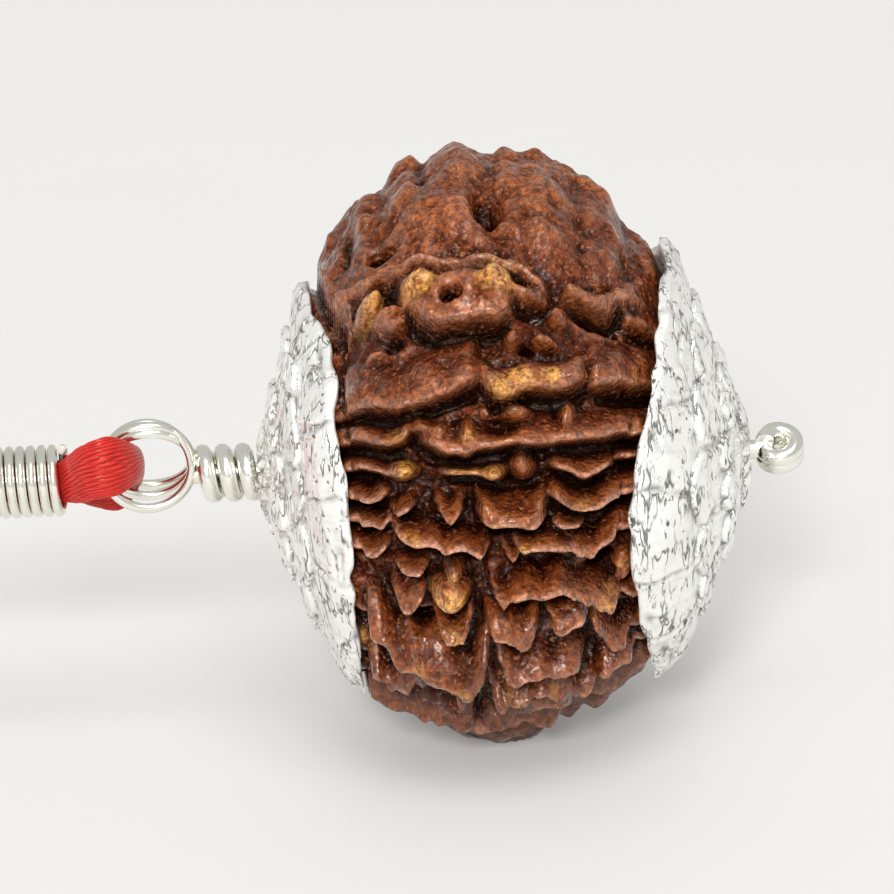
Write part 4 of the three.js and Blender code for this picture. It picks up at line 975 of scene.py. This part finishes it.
# Middle of the thread's fold: (x, y, z above the hole axis, half thickness, half width).
THREAD_PATH = [(-29.2, -0.42, 0.0, 0.42, 0.9), (-21.9, -0.42, 0.0, 0.42, 0.9),
               (-21.2, -0.62, 0.15, 0.5, 1.1), (-20.4, -1.45, 0.65, 0.58, 1.42),
               (-19.5, -2.15, 1.13, 0.6, 1.52), (-18.7, -1.95, 1.2, 0.6, 1.52),
               (-18.1, -1.1, 1.0, 0.58, 1.25), (-17.85, 0.1, 0.65, 0.58, 1.0),
               (-17.95, 1.3, 0.1, 0.55, 1.15), (-18.6, 2.4, -0.9, 0.55, 1.45),
               (-19.5, 2.6, -1.0, 0.55, 1.45), (-20.4, 1.8, -0.75, 0.55, 1.15),
               (-21.2, 0.75, -0.25, 0.5, 1.0), (-21.9, 0.42, 0.0, 0.42, 0.9),
               (-29.2, 0.42, 0.0, 0.42, 0.9)]


def through(points, steps):
    """Evenly many points on a smooth curve through the given ones."""
    p = np.array([points[0], *points, points[-1]], float)
    out = []
    for i in range(1, len(p) - 2):
        for k in range(steps):
            t = k / steps
            a, b, c, d = p[i - 1], p[i], p[i + 1], p[i + 2]
            out.append(0.5 * (2 * b + (c - a) * t + (2 * a - 5 * b + 4 * c - d) * t * t
                              + (3 * b - a - 3 * c + d) * t ** 3))
    out.append(p[-2])
    return np.array(out)


def thread_piece(look):
    """Silk strands side by side, folded through the ring; each strand is a groove's width."""
    path = through(THREAD_PATH, 16)
    heading = np.gradient(path[:, :2], axis=0)
    heading /= np.linalg.norm(heading, axis=1)[:, None]
    run = np.concatenate([[0], np.cumsum(np.linalg.norm(np.diff(path[:, :3], axis=0), axis=1))])
    around = np.linspace(0, 2 * math.pi, THREAD_STRANDS * 10, endpoint=False)
    points, strand = [], []
    for place, (hx, hy), far in zip(path, heading, run):
        wander = 0.5 * np.sin(far * 1.3 + around * 3) + 0.4 * np.sin(far * 2.3 + around * 7)
        twist = around - 0.16 * far
        yarn = np.abs(np.sin(twist * THREAD_STRANDS / 2 + wander))
        ply = np.sin(twist * THREAD_STRANDS * 1.5 + far * 9 + np.sin(twist * 5 + far) * 2)
        swell = 1 - 0.07 * (1 - yarn) ** 1.5 + 0.014 * ply
        side = place[3] * np.sign(np.cos(around)) * np.abs(np.cos(around)) ** 0.8 * swell
        tall = place[4] * np.sin(around) * swell
        points.append(np.stack([place[0] + hy * side, place[1] - hx * side,
                                AXIS_HEIGHT + place[2] + tall], 1))
        strand.append(np.clip(yarn ** 0.6 * 0.75 + 0.15 * ply, 0, 1))
    count = len(around)
    last = (len(points) - 1) * count
    faces = ring_faces(len(points), count, closed=False)
    faces += [tuple(range(count)), tuple(reversed(range(last, last + count)))]
    obj = mesh_object("silk_fold", np.concatenate(points), faces)
    give_values(obj, strand=np.concatenate(strand))
    make_active(obj)
    face_outward()
    finish_piece(obj, "thread", red_silk(look))


def coil_points():
    """Four layers of three turns, clockwise from above, each a cord's width from the last."""
    slots = COIL_LAYERS * COIL_COLUMNS
    radii, heights = [], []
    for slot in range(slots):
        layer, column = divmod(slot, COIL_COLUMNS)
        if layer % 2:
            column = COIL_COLUMNS - 1 - column
        radius = COIL_RADIUS + (COIL_COLUMNS - 1) * CORD / 2 + 0.03 - column * (CORD + 0.03)
        begin = slot * COIL_TURNS / slots + (0.08 if slot else 0)
        end = COIL_TURNS if slot == slots - 1 else (slot + 1) * COIL_TURNS / slots - 0.12
        radii += [(begin, radius), (end, radius)]
        heights += [(begin, layer), (end, layer)]
    steps = round(COIL_TURNS * 20)
    turn = np.arange(1, steps) / steps * COIL_TURNS
    a = -math.pi / 2 - turn * 2 * math.pi
    radius = along(radii, turn)
    return np.stack([COIL_X + radius * np.cos(a), radius * np.sin(a),
                     CORD / 2 + 0.01 + along(heights, turn) * CORD], 1)


def cord_piece(look):
    """The neck cord: down from the binding, wound into its coil, and up to the binding again."""
    out, back = [through([(*p, 0) for p in lead], 4)[:, :3] for lead in (LEAD_OUT, LEAD_BACK)]
    route = np.concatenate([out, coil_points(), back]).tolist()
    cord = round_curve("neck_cord", route, look.cord_width / 2)
    cord.data.splines[0].use_smooth = True
    silk = red_silk(look, strands=False)
    cord.data.materials.append(silk)
    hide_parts("cord_out", "cord_back", "cord_coil")
    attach(cord, "root")
    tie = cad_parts["coil_tie"]
    tie.data.materials.clear()
    tie.data.materials.append(silk)


def set_camera():
    data = bpy.data.cameras.new("view")
    data.sensor_width = 36
    data.lens = VIEW_DISTANCE * 36 * DOTS_PER_MM / PICTURE
    data.clip_start, data.clip_end = 0.01, 10
    data.shift_x = (PICTURE / 2 - AXIS_DOT[0]) / PICTURE
    data.shift_y = (AXIS_DOT[1] - PICTURE / 2) / PICTURE
    camera = scene_object("view", data)
    back = Vector((0, -math.cos(VIEW_TILT), math.sin(VIEW_TILT)))
    camera.location = Vector((0, 0, AXIS_HEIGHT * MM)) + back * VIEW_DISTANCE * MM
    camera.rotation_mode = "QUATERNION"
    level = (-back).to_track_quat("-Z", "Y")
    camera.rotation_quaternion = level @ Quaternion((0, 0, 1), -math.atan(ROLL))
    bpy.context.scene.camera = camera


def area_light(name, place, size, power):
    data = bpy.data.lights.new(name, "AREA")
    data.size = size
    data.energy = power
    light = scene_object(name, data)
    light.location = place
    aim = Vector((0, 0, AXIS_HEIGHT * MM)) - light.location
    light.rotation_mode = "QUATERNION"
    light.rotation_quaternion = aim.to_track_quat("-Z", "Y")


def stage_pieces(look):
    bpy.ops.object.select_all(action="DESELECT")
    bpy.ops.mesh.primitive_plane_add(size=2.4, location=(0, 0.2, 0))
    floor = bpy.context.view_layer.objects.active
    floor.name = floor.data.name = "floor"
    bpy.ops.object.transform_apply(location=True, rotation=True, scale=True)
    n = Nodes("pale_floor")
    r, g, b = look.floor
    tone = n.ramp(n.noise(30, 2), [(0.3, (r * 0.985, g * 0.985, b * 0.98)), (0.7, (r, g, b))])
    floor.data.materials.append(n.set(Base_Color=tone, Roughness=0.7, Specular_IOR_Level=0.2,
                                      Emission_Color=(1, 0.995, 0.98, 1),
                                      Emission_Strength=look.glow))
    world = bpy.data.worlds.new("studio")
    bpy.context.scene.world = world
    world.use_nodes = True
    background = world.node_tree.nodes["Background"]
    background.inputs["Color"].default_value = (1.0, 0.995, 0.98, 1)
    background.inputs["Strength"].default_value = look.daylight
    area_light("key", (-0.24, -2.1, 1.08), 0.42, look.key)
    area_light("fill", (0.3, -1.2, 2.0), 1.2, look.fill)
    set_camera()
    bpy.context.scene.view_settings.view_transform = "Standard"


def colour_field(name, description, default):
    return FloatVectorProperty(name=name, description=description, default=default, min=0, max=1,
                               subtype="COLOR")


class RUDRAKSHA_seed_look(bpy.types.PropertyGroup):
    groove_depth: FloatProperty(name="Groove depth", description="Crests above the groove floor",
                                default=0.0025, min=0.0, max=0.004, unit="LENGTH", precision=4)
    brown: colour_field("Brown", "Colour of the oiled stone", (0.165, 0.053, 0.021))
    # Colour of the painted highlight along the ridges' rims.
    edge: colour_field("Edges", "Colour of the ridges' rubbed edges", (0.52, 0.26, 0.17))
    worn: colour_field("Worn wood", "Colour where handling wore the crests", (0.6, 0.3, 0.07))


class RUDRAKSHA_silver_look(bpy.types.PropertyGroup):
    colour: colour_field("Silver", "Colour of the bright silver", (0.93, 0.92, 0.89))
    # Colour of the tarnish and painted shade in the caps' creases.
    tarnish_and_shade: colour_field("Tarnish", "Colour in the creases of the caps", (0.1, 0.09, 0.08))
    roughness: FloatProperty(name="Roughness", description="How dull the silver is", default=0.2,
                             min=0, max=1, subtype="FACTOR")


class RUDRAKSHA_silk_look(bpy.types.PropertyGroup):
    colour: colour_field("Silk", "Colour of the silk thread and cord", (0.62, 0.018, 0.015))
    cord_width: FloatProperty(name="Cord width", description="Thickness of the neck cord",
                              default=0.0013, min=0.0005, max=0.002, unit="LENGTH", precision=4)


class RUDRAKSHA_stage_look(bpy.types.PropertyGroup):
    floor: colour_field("Floor", "Colour of the surface under the seed", (0.66, 0.656, 0.643))
    glow: FloatProperty(name="Glow", description="Light that comes up through the surface",
                        default=0.16, min=0, max=1)
    daylight: FloatProperty(name="Daylight", description="Strength of the even light all round",
                            default=0.58, min=0, max=5)
    key: FloatProperty(name="Key light", description="Power of the low light in front",
                       default=40.0, min=0, max=100, unit="POWER")
    fill: FloatProperty(name="Fill light", description="Power of the wide light overhead",
                        default=16.0, min=0, max=100, unit="POWER")


class RUDRAKSHA_OT_seed(bpy.types.Operator):
    """Add the seed, with its ridges, knobs and pits"""
    bl_idname = "rudraksha.seed"
    bl_label = "Seed"

    def execute(self, context):
        seed_piece(context.scene.rudraksha_seed)
        return {"FINISHED"}


class RUDRAKSHA_OT_caps(bpy.types.Operator):
    """Add the two pressed silver caps"""
    bl_idname = "rudraksha.caps"
    bl_label = "Caps"

    def execute(self, context):
        for name in CAPS:
            cap_piece(name, context.scene.rudraksha_silver)
        return {"FINISHED"}


class RUDRAKSHA_OT_wire(bpy.types.Operator):
    """Add the silver wire with its ring, wraps and eye"""
    bl_idname = "rudraksha.wire"
    bl_label = "Wire"

    def execute(self, context):
        wire_pieces(context.scene.rudraksha_silver)
        return {"FINISHED"}


class RUDRAKSHA_OT_binding(bpy.types.Operator):
    """Add the fine wire wound round the thread"""
    bl_idname = "rudraksha.binding"
    bl_label = "Binding"

    def execute(self, context):
        binding_piece(context.scene.rudraksha_silver)
        return {"FINISHED"}


class RUDRAKSHA_OT_thread(bpy.types.Operator):
    """Add the silk thread that is folded through the ring"""
    bl_idname = "rudraksha.thread"
    bl_label = "Thread"

    def execute(self, context):
        thread_piece(context.scene.rudraksha_silk)
        return {"FINISHED"}


class RUDRAKSHA_OT_cord(bpy.types.Operator):
    """Add the neck cord and dress its tie"""
    bl_idname = "rudraksha.cord"
    bl_label = "Neck cord"

    def execute(self, context):
        cord_piece(context.scene.rudraksha_silk)
        return {"FINISHED"}


class RUDRAKSHA_OT_stage(bpy.types.Operator):
    """Add the pale surface, the soft light and the camera"""
    bl_idname = "rudraksha.stage"
    bl_label = "Stage"

    def execute(self, context):
        stage_pieces(context.scene.rudraksha_stage)
        return {"FINISHED"}


PIECES = (RUDRAKSHA_OT_seed, RUDRAKSHA_OT_caps, RUDRAKSHA_OT_wire, RUDRAKSHA_OT_binding,
          RUDRAKSHA_OT_thread, RUDRAKSHA_OT_cord, RUDRAKSHA_OT_stage)
LOOKS = {"rudraksha_seed": RUDRAKSHA_seed_look, "rudraksha_silver": RUDRAKSHA_silver_look,
         "rudraksha_silk": RUDRAKSHA_silk_look, "rudraksha_stage": RUDRAKSHA_stage_look}


class RUDRAKSHA_PT_pieces(bpy.types.Panel):
    bl_idname = "RUDRAKSHA_PT_pieces"
    bl_label = "Rudraksha seed"
    bl_space_type = "VIEW_3D"
    bl_region_type = "UI"
    bl_category = "Rudraksha"

    def draw(self, context):
        for name, kind in LOOKS.items():
            box = self.layout.box()
            for key in kind.__annotations__:
                box.prop(getattr(context.scene, name), key)
        for piece in PIECES:
            self.layout.operator(piece.bl_idname)


def register():
    for kind in (*LOOKS.values(), *PIECES, RUDRAKSHA_PT_pieces):
        bpy.utils.register_class(kind)
    for name, kind in LOOKS.items():
        setattr(bpy.types.Scene, name, PointerProperty(type=kind))


def unregister():
    for name in LOOKS:
        delattr(bpy.types.Scene, name)
    for kind in (RUDRAKSHA_PT_pieces, *reversed(PIECES), *reversed(LOOKS.values())):
        bpy.utils.unregister_class(kind)


def main():
    register()
    bpy.ops.rudraksha.seed()
    bpy.ops.rudraksha.caps()
    bpy.ops.rudraksha.wire()
    bpy.ops.rudraksha.binding()
    bpy.ops.rudraksha.thread()
    bpy.ops.rudraksha.cord()
    bpy.ops.rudraksha.stage()


if __name__ == "__main__":
    main()
